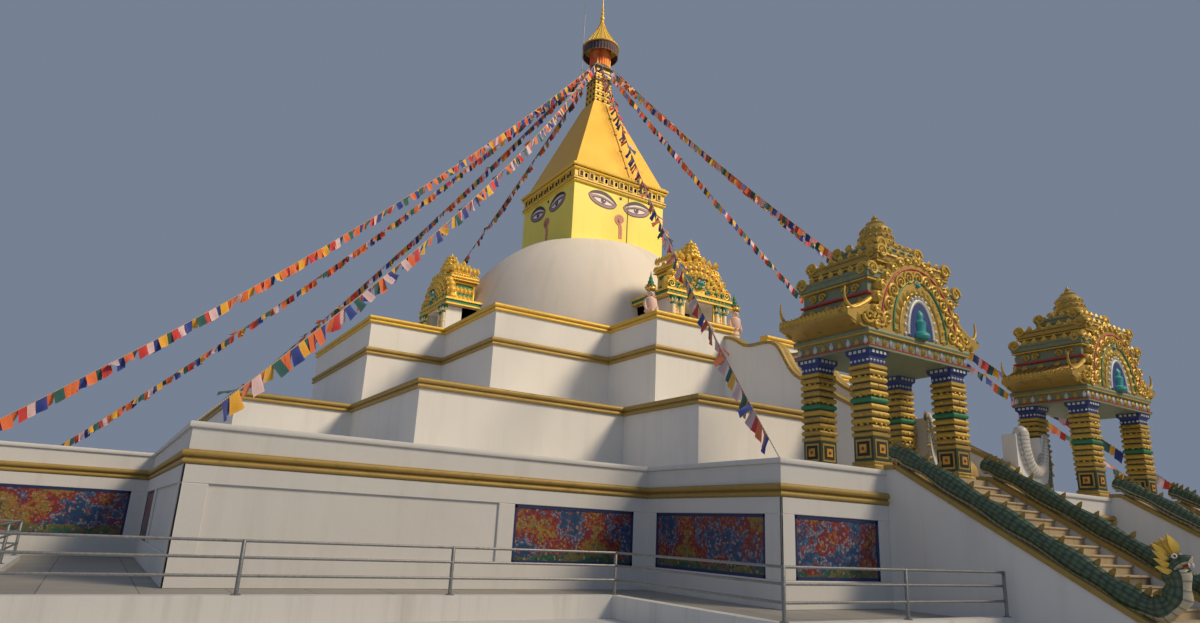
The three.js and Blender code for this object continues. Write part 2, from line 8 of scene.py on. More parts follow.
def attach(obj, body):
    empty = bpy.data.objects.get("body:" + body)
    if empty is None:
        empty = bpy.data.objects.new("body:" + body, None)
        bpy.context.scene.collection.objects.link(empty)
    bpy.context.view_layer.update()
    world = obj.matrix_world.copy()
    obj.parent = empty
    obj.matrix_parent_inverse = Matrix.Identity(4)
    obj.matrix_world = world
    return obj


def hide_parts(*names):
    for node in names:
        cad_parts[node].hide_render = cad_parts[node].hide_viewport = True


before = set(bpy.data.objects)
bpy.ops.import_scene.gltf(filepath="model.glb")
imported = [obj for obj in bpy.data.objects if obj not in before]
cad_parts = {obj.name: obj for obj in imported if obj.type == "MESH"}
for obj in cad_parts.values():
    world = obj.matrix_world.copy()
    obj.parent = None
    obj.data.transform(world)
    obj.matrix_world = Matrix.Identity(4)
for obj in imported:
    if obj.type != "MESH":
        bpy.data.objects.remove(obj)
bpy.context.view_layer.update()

# Camera: low at the left of the front, looking up past the near corner of the
# terraces. Every size below is the real building's, in metres, and the model
# is half as large.
HALF_SIZE = 0.5
EYE = (-21.90, -36.82, 1.59)
HEADING, TURN, PITCH, ROLL = 30.75, -0.99, 15.92, 2.73

heading = Vector((math.sin(math.radians(HEADING)), math.cos(math.radians(HEADING)), 0))
heading = Matrix.Rotation(math.radians(TURN), 3, "Z") @ heading
ahead = heading * math.cos(math.radians(PITCH)) + Vector((0, 0, math.sin(math.radians(PITCH))))
level = Vector((heading.y, -heading.x, 0))
over = level.cross(ahead)
right = level * math.cos(math.radians(ROLL)) + over * math.sin(math.radians(ROLL))
upward = over * math.cos(math.radians(ROLL)) - level * math.sin(math.radians(ROLL))
camera = bpy.data.objects.new("camera", bpy.data.cameras.new("camera"))
camera.data.lens, camera.data.sensor_width = 23.23, 36.0
camera.data.clip_end = 400
camera.matrix_world = Matrix.Translation(Vector(EYE) * HALF_SIZE) @ Matrix(
    (right, upward, -ahead)).transposed().to_4x4()
bpy.context.scene.collection.objects.link(camera)
bpy.context.scene.camera = camera


# Prayer-flag strings: twelve cotton cords tied to the collar under the umbrella
# and to the outer corners of the ground storey. Each carries thin printed flags
# in the fixed order blue, white, red, green, yellow, sewn on by their top edge.
GROUND = (20.6, 10.2, 25.2)
COLLAR_HALF, COLLAR_MIDDLE = 0.64, 29.56
GROUND_FLOOR = 3.24
CORD_RADIUS, CORD_SAG, CORD_STEPS = 0.012, 0.03, 28
FLAG_WIDE, FLAG_TALL, FLAG_PITCH = 0.31, 0.40, 0.24
FLAG_DYES = [
    ("flag_blue", (0.012, 0.035, 0.24)), ("flag_white", (0.62, 0.42, 0.44)),
    ("flag_red", (0.50, 0.030, 0.03)), ("flag_green", (0.010, 0.085, 0.075)),
    ("flag_yellow", (0.74, 0.36, 0.03)), ("flag_orange", (0.68, 0.13, 0.03)),
]


class Tone:
    """A value, colour or vector in a material, so that shader maths reads as maths."""

    def __init__(self, finish, socket):
        self.finish, self.socket = finish, socket

    def math(self, work, first, second):
        return self.finish.node("ShaderNodeMath", {"operation": work}, {0: first, 1: second})

    def __add__(self, other):
        return self.math("ADD", self, other)

    def __radd__(self, other):
        return self.math("ADD", other, self)

    def __sub__(self, other):
        return self.math("SUBTRACT", self, other)

    def __rsub__(self, other):
        return self.math("SUBTRACT", other, self)

    def __mul__(self, other):
        return self.math("MULTIPLY", self, other)

    def __rmul__(self, other):
        return self.math("MULTIPLY", other, self)

    def __truediv__(self, other):
        return self.math("DIVIDE", self, other)

    def __mod__(self, other):
        return self.math("FLOORED_MODULO", self, other)

    def __gt__(self, other):
        return self.math("GREATER_THAN", self, other)

    def __lt__(self, other):
        return self.math("LESS_THAN", self, other)


class Finish:
    """A material and its nodes. Fixed numbers go straight onto the shader."""

    def __init__(self, name, **fixed):
        self.material = bpy.data.materials.new(name)
        self.material.use_nodes = True
        self.tree = self.material.node_tree
        self.shader = next(n for n in self.tree.nodes if n.type == "BSDF_PRINCIPLED")
        for socket, value in fixed.items():
            self.shader.inputs[socket.replace("_", " ")].default_value = value

    def node(self, kind, settings=None, inputs=None, out=0):
        made = self.tree.nodes.new(kind)
        for setting, value in (settings or {}).items():
            if setting == "stops":
                ramp = made.color_ramp
                while len(ramp.elements) < len(value):
                    ramp.elements.new(1.0)
                for element, (place, colour) in zip(ramp.elements, value):
                    element.position, element.color = place, (*colour, 1)
            else:
                setattr(made, setting, value)
        for socket, value in (inputs or {}).items():
            self.join(made.inputs[socket], value)
        return Tone(self, made.outputs[out])

    def join(self, socket, value):
        if isinstance(value, Tone):
            self.tree.links.new(value.socket, socket)
        elif hasattr(value, "__len__") and len(value) == 3 and socket.type == "RGBA":
            socket.default_value = (*value, 1)
        else:
            socket.default_value = value

    def spot(self, stretch=(1, 1, 1)):
        """Place on the real building in metres, stretched for streaks and courses."""
        here = self.node("ShaderNodeTexCoord", out=3)
        return self.node("ShaderNodeVectorMath", {"operation": "MULTIPLY"},
                         {0: here, 1: tuple(s / HALF_SIZE for s in stretch)})

    def noise(self, scale, detail=4, rough=0.55, at=None):
        return self.node("ShaderNodeTexNoise", None, {
            "Vector": at or self.spot(), "Scale": scale, "Detail": detail, "Roughness": rough})

    def part(self, vector, axis):
        return self.node("ShaderNodeSeparateXYZ", None, {0: vector}, axis)

    def band(self, value, low, high):
        """0 below low, 1 above high."""
        return self.node("ShaderNodeMapRange", None, {
            "Value": value, "From Min": low, "From Max": high})

    def mix(self, share, first, second):
        return self.node("ShaderNodeMix", {"data_type": "RGBA"}, {0: share, 6: first, 7: second}, 2)

    def ramp(self, value, *stops):
        return self.node("ShaderNodeValToRGB", {"stops": stops}, {0: value})

    def wear(self, colour=None, rough=None, height=None, deep=0.01, **more):
        """Joins what changes over the surface to the shader; deep is in model metres."""
        joined = {"Base Color": colour, "Roughness": rough, **more}
        if height is not None:
            joined["Normal"] = self.node("ShaderNodeBump", None, {
                "Height": height, "Strength": 0.6, "Distance": deep})
        for socket, value in joined.items():
            if value is not None:
                self.join(self.shader.inputs[socket], value)
        return self.material


class Mould:
    """Corners and faces of one piece, gathered in the real building's metres."""

    def __init__(self):
        self.points, self.faces, self.paints, self.marks = [], [], [], []

    def add(self, points, faces, paint=0, marks=None):
        base = len(self.points)
        self.points += [tuple(p) for p in points]
        self.marks += marks or [(0.0, 0.0)] * len(points)
        self.faces += [[base + i for i in face] for face in faces]
        self.paints += [paint] * len(faces)

    def rows(self, rows, paint=0, closed=True, ends=False, loop=False, marks=None):
        """Skins a list of equal rows of points, one after another."""
        count = len(rows[0])
        faces = []
        for i in range(len(rows) - (0 if loop else 1)):
            j = (i + 1) % len(rows)
            for k in range(count if closed else count - 1):
                m = (k + 1) % count
                faces.append([i * count + k, i * count + m, j * count + m, j * count + k])
        if ends:
            faces.append(list(range(count))[::-1])
            faces.append([(len(rows) - 1) * count + k for k in range(count)])
        self.add([p for row in rows for p in row], faces, paint, marks)

    def cast(self, name, paints, slot=None, smooth=35, bevel=0.0, steps=1, replaces=()):
        mesh = bpy.data.meshes.new(name)
        mesh.from_pydata([[v * HALF_SIZE for v in p] for p in self.points], [], self.faces)
        for paint in paints:
            mesh.materials.append(paint)
        mesh.polygons.foreach_set("material_index", self.paints)
        if any(mark != (0.0, 0.0) for mark in self.marks):
            layer = mesh.uv_layers.new(name="marks")
            for loop in mesh.loops:
                layer.data[loop.index].uv = self.marks[loop.vertex_index]
        mesh.validate()
        if smooth:
            mesh.shade_smooth()
            mesh.set_sharp_from_angle(angle=math.radians(smooth))
        piece = bpy.data.objects.new(name, mesh)
        bpy.context.scene.collection.objects.link(piece)
        if bevel:
            edge = piece.modifiers.new("edge", "BEVEL")
            edge.width, edge.segments, edge.limit_method = bevel * HALF_SIZE, steps, "ANGLE"
            edge.angle_limit = math.radians(40)
        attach(piece, "root")
        if replaces:
            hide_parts(*([replaces] if isinstance(replaces, str) else replaces))
        return piece


def plan(sizes, offset=0.0):
    """The twenty corners of a terrace: four corner blocks and four projecting bays."""
    block, wing, reach = (v + offset for v in sizes)
    side = [(-block, -block), (-wing, -block), (-wing, -reach), (wing, -reach), (wing, -block)]
    return [[(x, y), (-y, x), (-x, -y), (y, -x)][turn] for turn in range(4) for x, y in side]


def string_route(x, y):
    outward = Vector((x, y, 0)).normalized()
    start = Vector((x, y, 0)) * (COLLAR_HALF / max(abs(x), abs(y)))
    start += outward * (CORD_RADIUS * 0.9 + 0.0006)
    start.z = COLLAR_MIDDLE
    end = Vector((x, y, GROUND_FLOOR)) - outward * 0.06
    sag = CORD_SAG * (start - end).length
    drop = start.z - end.z - 4 * sag
    run = math.hypot(end.x - start.x, end.y - start.y)
    end.z += CORD_RADIUS * run / math.hypot(run, drop) + 0.0006
    route = []
    for i in range(CORD_STEPS + 1):
        t = i / CORD_STEPS
        point = start.lerp(end, t)
        point.z -= 4 * t * (1 - t) * sag
        route.append(point)
    return route


def along(route, distance):
    for a, b in zip(route, route[1:]):
        span = (b - a).length
        if distance <= span:
            return a.lerp(b, distance / span)
        distance -= span
    return route[-1].copy()


cord_cotton = Finish("cord_cotton", Roughness=0.9)
twist = cord_cotton.node("ShaderNodeTexWave", {"wave_type": "BANDS"}, {
    "Vector": cord_cotton.spot(), "Scale": 9.0, "Distortion": 2.0})
CORD = cord_cotton.wear(
    cord_cotton.ramp(twist, (0.2, (0.30, 0.25, 0.19)), (0.8, (0.55, 0.50, 0.42))),
    height=twist, deep=0.002)

FLAGS = []
for dye_name, dye in FLAG_DYES:
    cloth = Finish(dye_name, Sheen_Weight=0.25, Sheen_Roughness=0.5)
    mark = cloth.node("ShaderNodeTexCoord", out=2)
    across, down = cloth.part(mark, 0), cloth.part(mark, 1)
    lines = (cloth.noise(26, 2, at=mark) > 0.52) * ((down * 9 % 1.0) > 0.42)
    inside = (across > 0.14) * (across < 0.86) * (down > 0.16) * (down < 0.88)
    faded = cloth.noise(0.5, 3)
    weave = cloth.noise(160, 2)
    bright = tuple(min(1.0, v * 1.7 + 0.05) for v in dye)
    colour = cloth.mix(cloth.band(faded, 0.35, 0.7) * 0.45, dye, bright)
    colour = cloth.mix(lines * inside * 0.45, colour, tuple(v * 0.25 for v in dye))
    FLAGS.append(cloth.wear(colour, 0.75 + weave * 0.2, weave, 0.0015))

outer = [p for p in plan(GROUND) if abs(p[0] * p[1]) >= GROUND[1] * GROUND[2] - 1e-6]
wind = random.Random(12)
for number, (x, y) in enumerate(outer, 1):
    route = string_route(x, y)
    line = bpy.data.curves.new(f"string_{number}", "CURVE")
    line.dimensions, line.bevel_depth, line.bevel_resolution = "3D", CORD_RADIUS * HALF_SIZE, 1
    line.use_fill_caps = True
    spline = line.splines.new("POLY")
    spline.points.add(CORD_STEPS)
    for knot, point in zip(spline.points, route):
        knot.co = (*(point * HALF_SIZE), 1)
    line.materials.append(CORD)
    string = bpy.data.objects.new(f"string_{number}", line)
    bpy.context.scene.collection.objects.link(string)
    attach(string, "root")
    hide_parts(f"flag_string_{number}")
    length = sum((b - a).length for a, b in zip(route, route[1:])) * HALF_SIZE
    route[0] * HALF_SIZE

    flags, count = Mould(), 0
    far = length / HALF_SIZE - 0.9
    place = 0.35
    while place < far:
        a, b = along(route, place), along(route, place + FLAG_WIDE)
        edge = b - a
        slope = edge.normalized()
        hang = Vector((0, 0, -1)) + slope * (slope.z * 0.45)
        hang = Matrix.Rotation(math.radians(wind.gauss(0, 34)), 3, slope) @ hang.normalized()
        face = edge.cross(hang).normalized()
        bow, phase, tall = wind.uniform(0.02, 0.09), wind.uniform(0, 6), FLAG_TALL * wind.uniform(0.86, 1)
        points, marks = [], []
        for j in range(4):
            for i in range(5):
                u, v = i / 4, j / 3
                ripple = bow * v * math.sin(phase + u * 4.2 + v * 1.5)
                points.append(a + edge * (u + 0.05 * v * (0.5 - u)) + hang * (v * tall) + face * ripple)
                marks.append((u + 0.001, 1 - v))
        faces = [[j * 5 + i, j * 5 + i + 1, j * 5 + i + 6, j * 5 + i + 5]
                 for j in range(3) for i in range(4)]
        flags.add(points, faces, (count % 5) if wind.random() > 0.22 else 5, marks)
        place += FLAG_PITCH
        count += 1
    cloths = flags.cast(f"flags_{number}", FLAGS, "flag_cloth", smooth=60)
    count * FLAG_WIDE * HALF_SIZE


# Walkway: a plinth of grey cement screed round the whole foot, poured in bays,
# with a raised kerb painted white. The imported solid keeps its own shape.
def streaks(finish, width=2.2, fall=0.16):
    """Rain marks that run down a wall."""
    return finish.noise(1.0, 5, 0.65, finish.spot((width, width, fall)))


def plaster(name, tone, soil, shade=0.28, grain=0.004):
    """Painted lime plaster: patchy whitewash, rain streaks, a trowelled surface."""
    wall = Finish(name, Specular_IOR_Level=0.35)
    patches, marks = wall.noise(0.35, 5), streaks(wall)
    fine, trowel = wall.noise(28, 4), wall.noise(2.6, 3)
    colour = wall.mix(wall.band(patches, 0.35, 0.72) * 0.55, tone, tuple(v * 0.90 for v in tone))
    colour = wall.mix(wall.band(marks, 0.52, 0.78) * shade, colour, soil)
    colour = wall.mix(wall.band(wall.noise(7, 5, 0.7), 0.66, 0.76) * 0.18, colour, soil)
    wall.wear(colour, 0.62 + patches * 0.3, fine * 0.4 + trowel, grain)
    return wall.material


WHITE = plaster("white_plaster", (0.78, 0.765, 0.735), (0.50, 0.475, 0.43))
# The ground storey's plaster is a greyer copy of the white one: partly dust, partly painted shade on the lower walls.
DUSTY_SHADED_WHITE = plaster("dusty_shaded_white_plaster", (0.69, 0.685, 0.67), (0.44, 0.425, 0.395))
screed = Finish("grey_screed")
height = screed.part(screed.spot(), 2)
flat = screed.part(screed.node("ShaderNodeNewGeometry", out=1), 2)
bays = screed.node("ShaderNodeTexBrick", {"offset": 0.0}, {
    "Vector": screed.spot(), "Scale": 1.0, "Brick Width": 1.4, "Row Height": 1.4, "Mortar Size": 0.012,
    "Color1": (0.30, 0.285, 0.26), "Color2": (0.35, 0.335, 0.305), "Mortar": (0.14, 0.13, 0.12)})
dust = screed.noise(1.1, 6, 0.65)
paving = screed.mix(screed.band(dust, 0.4, 0.75) * 0.6, bays, (0.42, 0.39, 0.34))
kerb = screed.mix(screed.band(streaks(screed), 0.5, 0.8) * 0.6, (0.72, 0.71, 0.68), (0.40, 0.38, 0.34))
is_floor = (flat > 0.9) * (height < 0.31)
WALK = screed.wear(screed.mix(is_floor, kerb, paving), 0.7 + dust * 0.25,
                   dust + screed.noise(30, 3) * 0.3, 0.004)


def dress(node, paint):
    """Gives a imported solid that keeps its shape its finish."""
    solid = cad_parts[node]
    for place in solid.material_slots:
        place.material = paint
    if not solid.material_slots:
        solid.data.materials.append(paint)


dress("walkway", WALK)


# Pipe railing: galvanised steel posts with foot plates set in the kerb, and
# three rails of welded pipe. It stops at the ground stairs.
WALK_EDGE, KERB_WIDTH, KERB_TOP, RAIL_TOP = 2.8, 0.25, 0.42, 1.24
RAILS, POST_BAY = (0.70, 0.97, 1.216), 3.4
FLIGHT_OUTER = 6.95


def tube(mould, route, radius, sides=10, paint=0, ends=True, flat=1.0, marks=False):
    """A bar along a route; radius may be a list, and flat squashes its height."""
    rows, spots = [], []
    route = [Vector(p) for p in route]
    side = None
    gone = 0.0
    for i, point in enumerate(route):
        before, after = route[max(i - 1, 0)], route[min(i + 1, len(route) - 1)]
        way = (after - before).normalized()
        if side is None:
            side = way.cross(Vector((0, 0, 1)) if abs(way.z) < 0.9 else Vector((0, 1, 0)))
        side = (side - way * side.dot(way)).normalized()
        top = side.cross(way)
        size = radius[i] if hasattr(radius, "__len__") else radius
        gone += (point - before).length
        rows.append([point + side * (size * math.cos(2 * math.pi * k / sides))
                     + top * (size * flat * math.sin(2 * math.pi * k / sides)) for k in range(sides)])
        spots += [(gone, k / sides) for k in range(sides)]
    mould.rows(rows, paint, ends=ends, marks=spots if marks else None)


def turned(mould, profile, middle=(0, 0), sides=32, paint=0, lobes=0, deep=0.0, spin=0.0):
    """A form turned on an upright axis from (radius, height) points, with ribs if lobes is set."""
    rows = []
    for radius, z in profile:
        row = []
        for k in range(sides):
            turn = 2 * math.pi * k / sides + spin
            r = max(radius, 0.0005) * (1 + deep * (abs(math.cos(turn * lobes / 2)) - 0.5) if lobes else 1)
            row.append((middle[0] + r * math.cos(turn), middle[1] + r * math.sin(turn), z))
        rows.append(row)
    mould.rows(rows, paint, ends=True)


pipe = Finish("galvanised_pipe", Metallic=0.6)
spangle = pipe.node("ShaderNodeTexVoronoi", None, {"Vector": pipe.spot(), "Scale": 22.0})
rust = pipe.band(pipe.noise(3.0, 6, 0.7), 0.58, 0.72)
PIPE = pipe.wear(
    pipe.mix(rust * 0.6, pipe.mix(spangle, (0.20, 0.205, 0.21), (0.30, 0.305, 0.31)), (0.16, 0.10, 0.06)),
    0.48 + rust * 0.3, spangle, 0.001)

rail_line = plan(GROUND, WALK_EDGE - KERB_WIDTH / 2)
half_line = [p for p in rail_line if p[0] < 0]
first_back = next(i for i, p in enumerate(half_line) if p[1] > GROUND[2])
half_line = (half_line[first_back:] + half_line[:first_back])[::-1]
half_line = [(-FLIGHT_OUTER - 0.15, half_line[0][1])] + half_line + [(-0.06, -half_line[0][1])]
for side_name, flip in (("left", 1), ("right", -1)):
    railing = Mould()
    path = [(x * flip, y) for x, y in half_line]
    for height in RAILS:
        tube(railing, [(x, y, height) for x, y in path], 0.024)
    for i, (a, b) in enumerate(zip(path, path[1:])):
        bays = max(1, round(math.dist(a, b) / POST_BAY))
        for k in range(bays + (i + 2 == len(path))):
            x, y = (a[0] + (b[0] - a[0]) * k / bays, a[1] + (b[1] - a[1]) * k / bays)
            turned(railing, [(0.032, KERB_TOP), (0.032, RAIL_TOP - 0.012), (0.022, RAIL_TOP)], (x, y), 12)
            turned(railing, [(0.075, KERB_TOP), (0.075, 0.432), (0.036, 0.445)], (x, y), 12)
    railing.cast(f"railing_{side_name}", [PIPE], "steel_pipe", 40,
                 replaces=f"walkway_railing_{side_name}")


# Ground storey: brick walls under white plaster. Raised pilasters and rails
# leave sunk panels, some plain and some painted; a gold-brown moulding runs
# round it and a low white coping closes the roof edge.
PANEL_LOW, PANEL_HIGH, RAISED = 0.85, 2.12, 0.05
PILASTER, STUD = 0.43, 0.40
BAND_PROUD = 0.11


def block(mould, low, high, paint=0, place=None):
    """A squared bar between two corners; place moves it onto a wall."""
    corners = [(x, y, z) for z in (low[2], high[2]) for x, y in
               ((low[0], low[1]), (high[0], low[1]), (high[0], high[1]), (low[0], high[1]))]
    faces = [(3, 2, 1, 0), (4, 5, 6, 7), (0, 1, 5, 4), (1, 2, 6, 5), (2, 3, 7, 6), (3, 0, 4, 7)]
    mould.add([place(*p) for p in corners] if place else corners, faces, paint)


def two_rolls(low, high, proud, seat=0.0):
    """Section of a run moulding: a small roll, a hollow, and a larger roll over it."""
    tall = high - low
    section = [(-seat, low)]
    for i in range(7):
        turn = math.pi * (i / 6 - 0.5)
        section.append((proud * (0.42 + 0.40 * math.cos(turn)), low + tall * (0.19 + 0.18 * math.sin(turn))))
    section.append((proud * 0.34, low + tall * 0.45))
    for i in range(9):
        turn = math.pi * (i / 8 - 0.5)
        section.append((proud * (0.52 + 0.48 * math.cos(turn)), low + tall * (0.74 + 0.25 * math.sin(turn))))
    return section + [(-seat, high)]


def run_moulding(name, sizes, section, paint, slot, node, gap=0.0):
    """Runs a section round a terrace with mitred corners; gap leaves the stair head open."""
    run = Mould()
    lines = [plan(sizes, out) for out, _ in section]
    spots = [[(*line[i], z) for line, (_, z) in zip(lines, section)] for i in range(20)]
    if gap:
        head = [(gap, -(sizes[2] + out), z) for out, z in section]
        tail = [(-gap, y, z) for _, y, z in head]
        spots = [head] + spots[3:] + spots[:3] + [tail]
    run.rows(spots, ends=bool(gap), loop=not gap)
    return run.cast(name, [paint], slot, 30, replaces=node)


def gilded(name, tone, dirt, metal=0.55, rough=0.34, soil=0.5, grain=0.003):
    """Gold paint over cement ornament: brighter where thick, brown where worn or dusty."""
    coat = Finish(name, Metallic=metal)
    cloud, speck, grime = coat.noise(1.6, 5), coat.noise(22, 4), coat.noise(5, 6, 0.7)
    colour = coat.mix(coat.band(cloud, 0.35, 0.7) * 0.5, tone, tuple(min(1, v * 1.25) for v in tone))
    colour = coat.mix(coat.band(grime, 0.55, 0.75) * soil, colour, dirt)
    coat.wear(colour, rough + cloud * 0.22 + coat.band(grime, 0.5, 0.8) * 0.2,
              speck + grime * 0.6, grain)
    return coat.material


BRONZE = gilded("gold_brown_paint", (0.36, 0.245, 0.065), (0.15, 0.105, 0.04), 0.2, 0.46)
GOLD = gilded("gold_paint", (0.68, 0.45, 0.075), (0.34, 0.20, 0.035), 0.25, 0.46)

mural = Finish("wall_painting", Roughness=0.42)
mark = mural.node("ShaderNodeTexCoord", out=2)
along_wall, up_wall = mural.part(mark, 0), mural.part(mark, 1)
sway, curls = mural.noise(0.8, 3, at=mark), mural.noise(0.62, 4, 0.55, at=mark)
tile_settings = {"Vector": mark, "Scale": 11.0, "Randomness": 0.85}
tile_edge = mural.node("ShaderNodeTexVoronoi", {"feature": "DISTANCE_TO_EDGE"}, tile_settings)
tile_tint = mural.node("ShaderNodeTexVoronoi", None, tile_settings, 1)
kind, depth = mural.part(tile_tint, 0), mural.part(tile_tint, 1)
paintings = mural.ramp(curls + (kind - 0.5) * 0.10, (0.0, (0.010, 0.030, 0.10)), (0.40, (0.012, 0.055, 0.16)),
                       (0.445, (0.05, 0.12, 0.24)), (0.465, (0.26, 0.26, 0.34)), (0.485, (0.17, 0.016, 0.030)),
                       (0.54, (0.22, 0.022, 0.026)), (0.56, (0.32, 0.085, 0.016)), (0.60, (0.30, 0.20, 0.04)),
                       (0.66, (0.20, 0.17, 0.04)), (0.70, (0.08, 0.03, 0.02)))
hills = mural.ramp((sway + up_wall * 0.5) * 5 % 1.0, (0.0, (0.012, 0.075, 0.050)),
                   (0.45, (0.020, 0.12, 0.075)), (0.8, (0.15, 0.14, 0.04)))
paintings = mural.mix((up_wall + sway * 0.9) < 0.78, paintings, hills)
paintings = mural.mix((depth > 0.80) * 0.75, paintings, mural.ramp(kind, (0.2, (0.36, 0.26, 0.16)), (0.5, (0.03, 0.05, 0.12)),
                                                                  (0.8, (0.34, 0.05, 0.02))))
paintings = mural.mix((tile_edge < 0.045) * 0.6, paintings, (0.02, 0.018, 0.02))
MURAL = mural.wear(paintings, height=curls + mural.noise(24, 3, at=mark) * 0.4, deep=0.002)
EDGE_BLUE = gilded("border_blue", (0.012, 0.025, 0.11), (0.05, 0.05, 0.06), 0.0, 0.4)

# The ground storey wears the greyer plaster, darkened partly as painted shade.
dress("ground_storey", DUSTY_SHADED_WHITE)
run_moulding("storey_band", GROUND, two_rolls(2.46, 2.73, BAND_PROUD), BRONZE, "bronze_band",
             "ground_storey_band")
run_moulding("storey_coping", GROUND,
             [(-0.4, 3.12), (0.0, 3.12), (0.05, 3.135), (0.06, 3.16), (0.06, 3.205), (0.045, 3.24), (-0.4, 3.24)],
             DUSTY_SHADED_WHITE, "white_masonry", "ground_storey_coping")

frames, paintwork = Mould(), Mould()
ring = plan(GROUND)
for i, (here, there) in enumerate(zip(ring, ring[1:] + ring[:1])):
    length = math.dist(here, there)
    way = ((there[0] - here[0]) / length, (there[1] - here[1]) / length)

    def on_wall(s, out, z, here=here, way=way):
        return (here[0] + way[0] * s + way[1] * out, here[1] + way[1] * s - way[0] * out, z)

    kind = i % 5
    opens = [(PILASTER, length - PILASTER, True)]
    spans = [(-RAISED if kind in (0, 2) else 0, length + (RAISED if kind in (2, 4) else 0))]
    if kind == 0:
        opens = [(PILASTER, 6.31, False), (6.71, length - PILASTER, True)]
    elif kind == 4:
        opens = [(PILASTER, length - 6.71, True), (length - 6.31, length - PILASTER, False)]
    elif kind == 1:
        spans = [(0, length + RAISED)]
    elif kind == 3:
        spans = [(-RAISED, length)]
    elif i == 2:
        opens = [(0.33, 2.90, True), (length - 2.90, length - 0.33, True)]
        spans = [(-RAISED, 3.25), (7.15, 7.40), (length - 7.40, length - 7.15), (length - 3.25, length + RAISED)]
    else:
        wide = (length - 2 * PILASTER - 3 * STUD) / 4
        opens = [(PILASTER + k * (wide + STUD), PILASTER + k * (wide + STUD) + wide, True) for k in range(4)]
    for low, high in spans:
        inside = [(a, b) for a, b, _ in opens if low <= a and b <= high]
        if inside:
            block(frames, (low, 0, 0.30), (high, RAISED, PANEL_LOW), 0, on_wall)
            block(frames, (low, 0, PANEL_HIGH), (high, RAISED, 2.46), 0, on_wall)
        edges = [low] + [v for pair in inside for v in pair] + [high]
        for a, b in zip(edges[::2], edges[1::2]):
            z = (PANEL_LOW, PANEL_HIGH) if inside else (0.30, 2.46)
            block(frames, (a, 0, z[0]), (b, RAISED, z[1]), 0, on_wall)
    for a, b, painted in opens:
        if not painted:
            continue
        at = len(paintwork.points)
        block(paintwork, (a, 0, PANEL_LOW), (b, 0.012, PANEL_HIGH), 0, on_wall)
        for k, (s, z) in enumerate([(s, z) for z in (0.0, PANEL_HIGH - PANEL_LOW) for s in (a, b, b, a)]):
            paintwork.marks[at + k] = (1.5 * (s + i * 7.31), 1.5 * z + 0.001)
        for s0, s1, z0, z1 in ((a, b, PANEL_LOW, PANEL_LOW + 0.07), (a, b, PANEL_HIGH - 0.07, PANEL_HIGH),
                               (a, a + 0.07, PANEL_LOW, PANEL_HIGH), (b - 0.07, b, PANEL_LOW, PANEL_HIGH)):
            block(paintwork, (s0, 0, z0), (s1, 0.025, z1), 1, on_wall)
block(frames, (-2.80, -25.25, 2.13), (2.80, -25.2, 2.46), 0)
frames.cast("storey_panel_frames", [DUSTY_SHADED_WHITE], "white_masonry", 0, bevel=0.012)
paintwork.cast("storey_paintings", [MURAL, EDGE_BLUE], smooth=0)


# Entrance hall under the front bay: a dark room with folded timber and olive-green
# leaves on both sides of its mouth, a glazed screen at the back and a dark stone floor.
timber = Finish("dark_timber", Specular_IOR_Level=0.4)
rings = timber.noise(5, 5, 0.6, timber.spot((1, 1, 0.12)))
TIMBER = timber.wear(timber.ramp(rings, (0.3, (0.035, 0.018, 0.010)), (0.7, (0.10, 0.052, 0.026))),
                     0.38 + rings * 0.3, rings, 0.002)
OLIVE = gilded("olive_panel_paint", (0.10, 0.115, 0.035), (0.04, 0.04, 0.02), 0.1, 0.4)
glass = Finish("dark_glass", Transmission_Weight=0.0, Coat_Weight=0.7)
GLASS = glass.wear(glass.mix(glass.band(glass.noise(0.9, 3), 0.35, 0.7), (0.012, 0.015, 0.018), (0.05, 0.055, 0.06)),
                   0.06 + glass.noise(12, 4) * 0.15, glass.noise(2, 2), 0.001)
DARK_FLAGS = gilded("hall_floor_stone", (0.045, 0.040, 0.034), (0.02, 0.018, 0.016), 0.0, 0.4)
hall = Mould()
block(hall, (-2.795, -18.60, 0.305), (2.795, -18.505, 2.125), 0)
for x in (-2.7, -1.38, -0.06, 1.26):
    block(hall, (x, -18.64, 0.42), (x + 1.44 - 0.12, -18.6, 2.02), 0)
    block(hall, (x + 0.12, -18.655, 1.05), (x + 1.20, -18.635, 1.92), 2)
    block(hall, (x + 0.12, -18.655, 0.52), (x + 1.20, -18.635, 0.95), 1)
block(hall, (-2.79, -25.02, 0.301), (2.79, -18.60, 0.312), 3)
for flip in (-1, 1):
    for k in range(5):
        y = -24.9 + k * 1.25
        block(hall, (min(2.795 * flip, 2.755 * flip), y, 0.42), (max(2.795 * flip, 2.755 * flip), y + 1.12, 2.06), 0)
        block(hall, (min(2.765 * flip, 2.73 * flip), y + 0.14, 0.56), (max(2.765 * flip, 2.73 * flip), y + 0.98, 1.92), 1)
    for near, far in ((2.72, 2.04), (2.04, 1.36)):
        block(hall, (min(near * flip, far * flip), -24.30, 0.34), (max(near * flip, far * flip), -24.25, 2.08), 0)
        block(hall, (min((near - 0.09) * flip, (far + 0.09) * flip), -24.315, 0.46),
              (max((near - 0.09) * flip, (far + 0.09) * flip), -24.235, 1.98), 1 if near > 2.5 else 2)
    block(hall, (min(2.8 * flip, 2.73 * flip), -25.24, 0.302), (max(2.8 * flip, 2.73 * flip), -25.0, 2.06), 0)
block(hall, (-2.8, -25.24, 2.06), (2.8, -25.0, 2.13), 0)
hall.cast("entrance_lining", [TIMBER, OLIVE, GLASS, DARK_FLAGS], smooth=0, bevel=0.008)


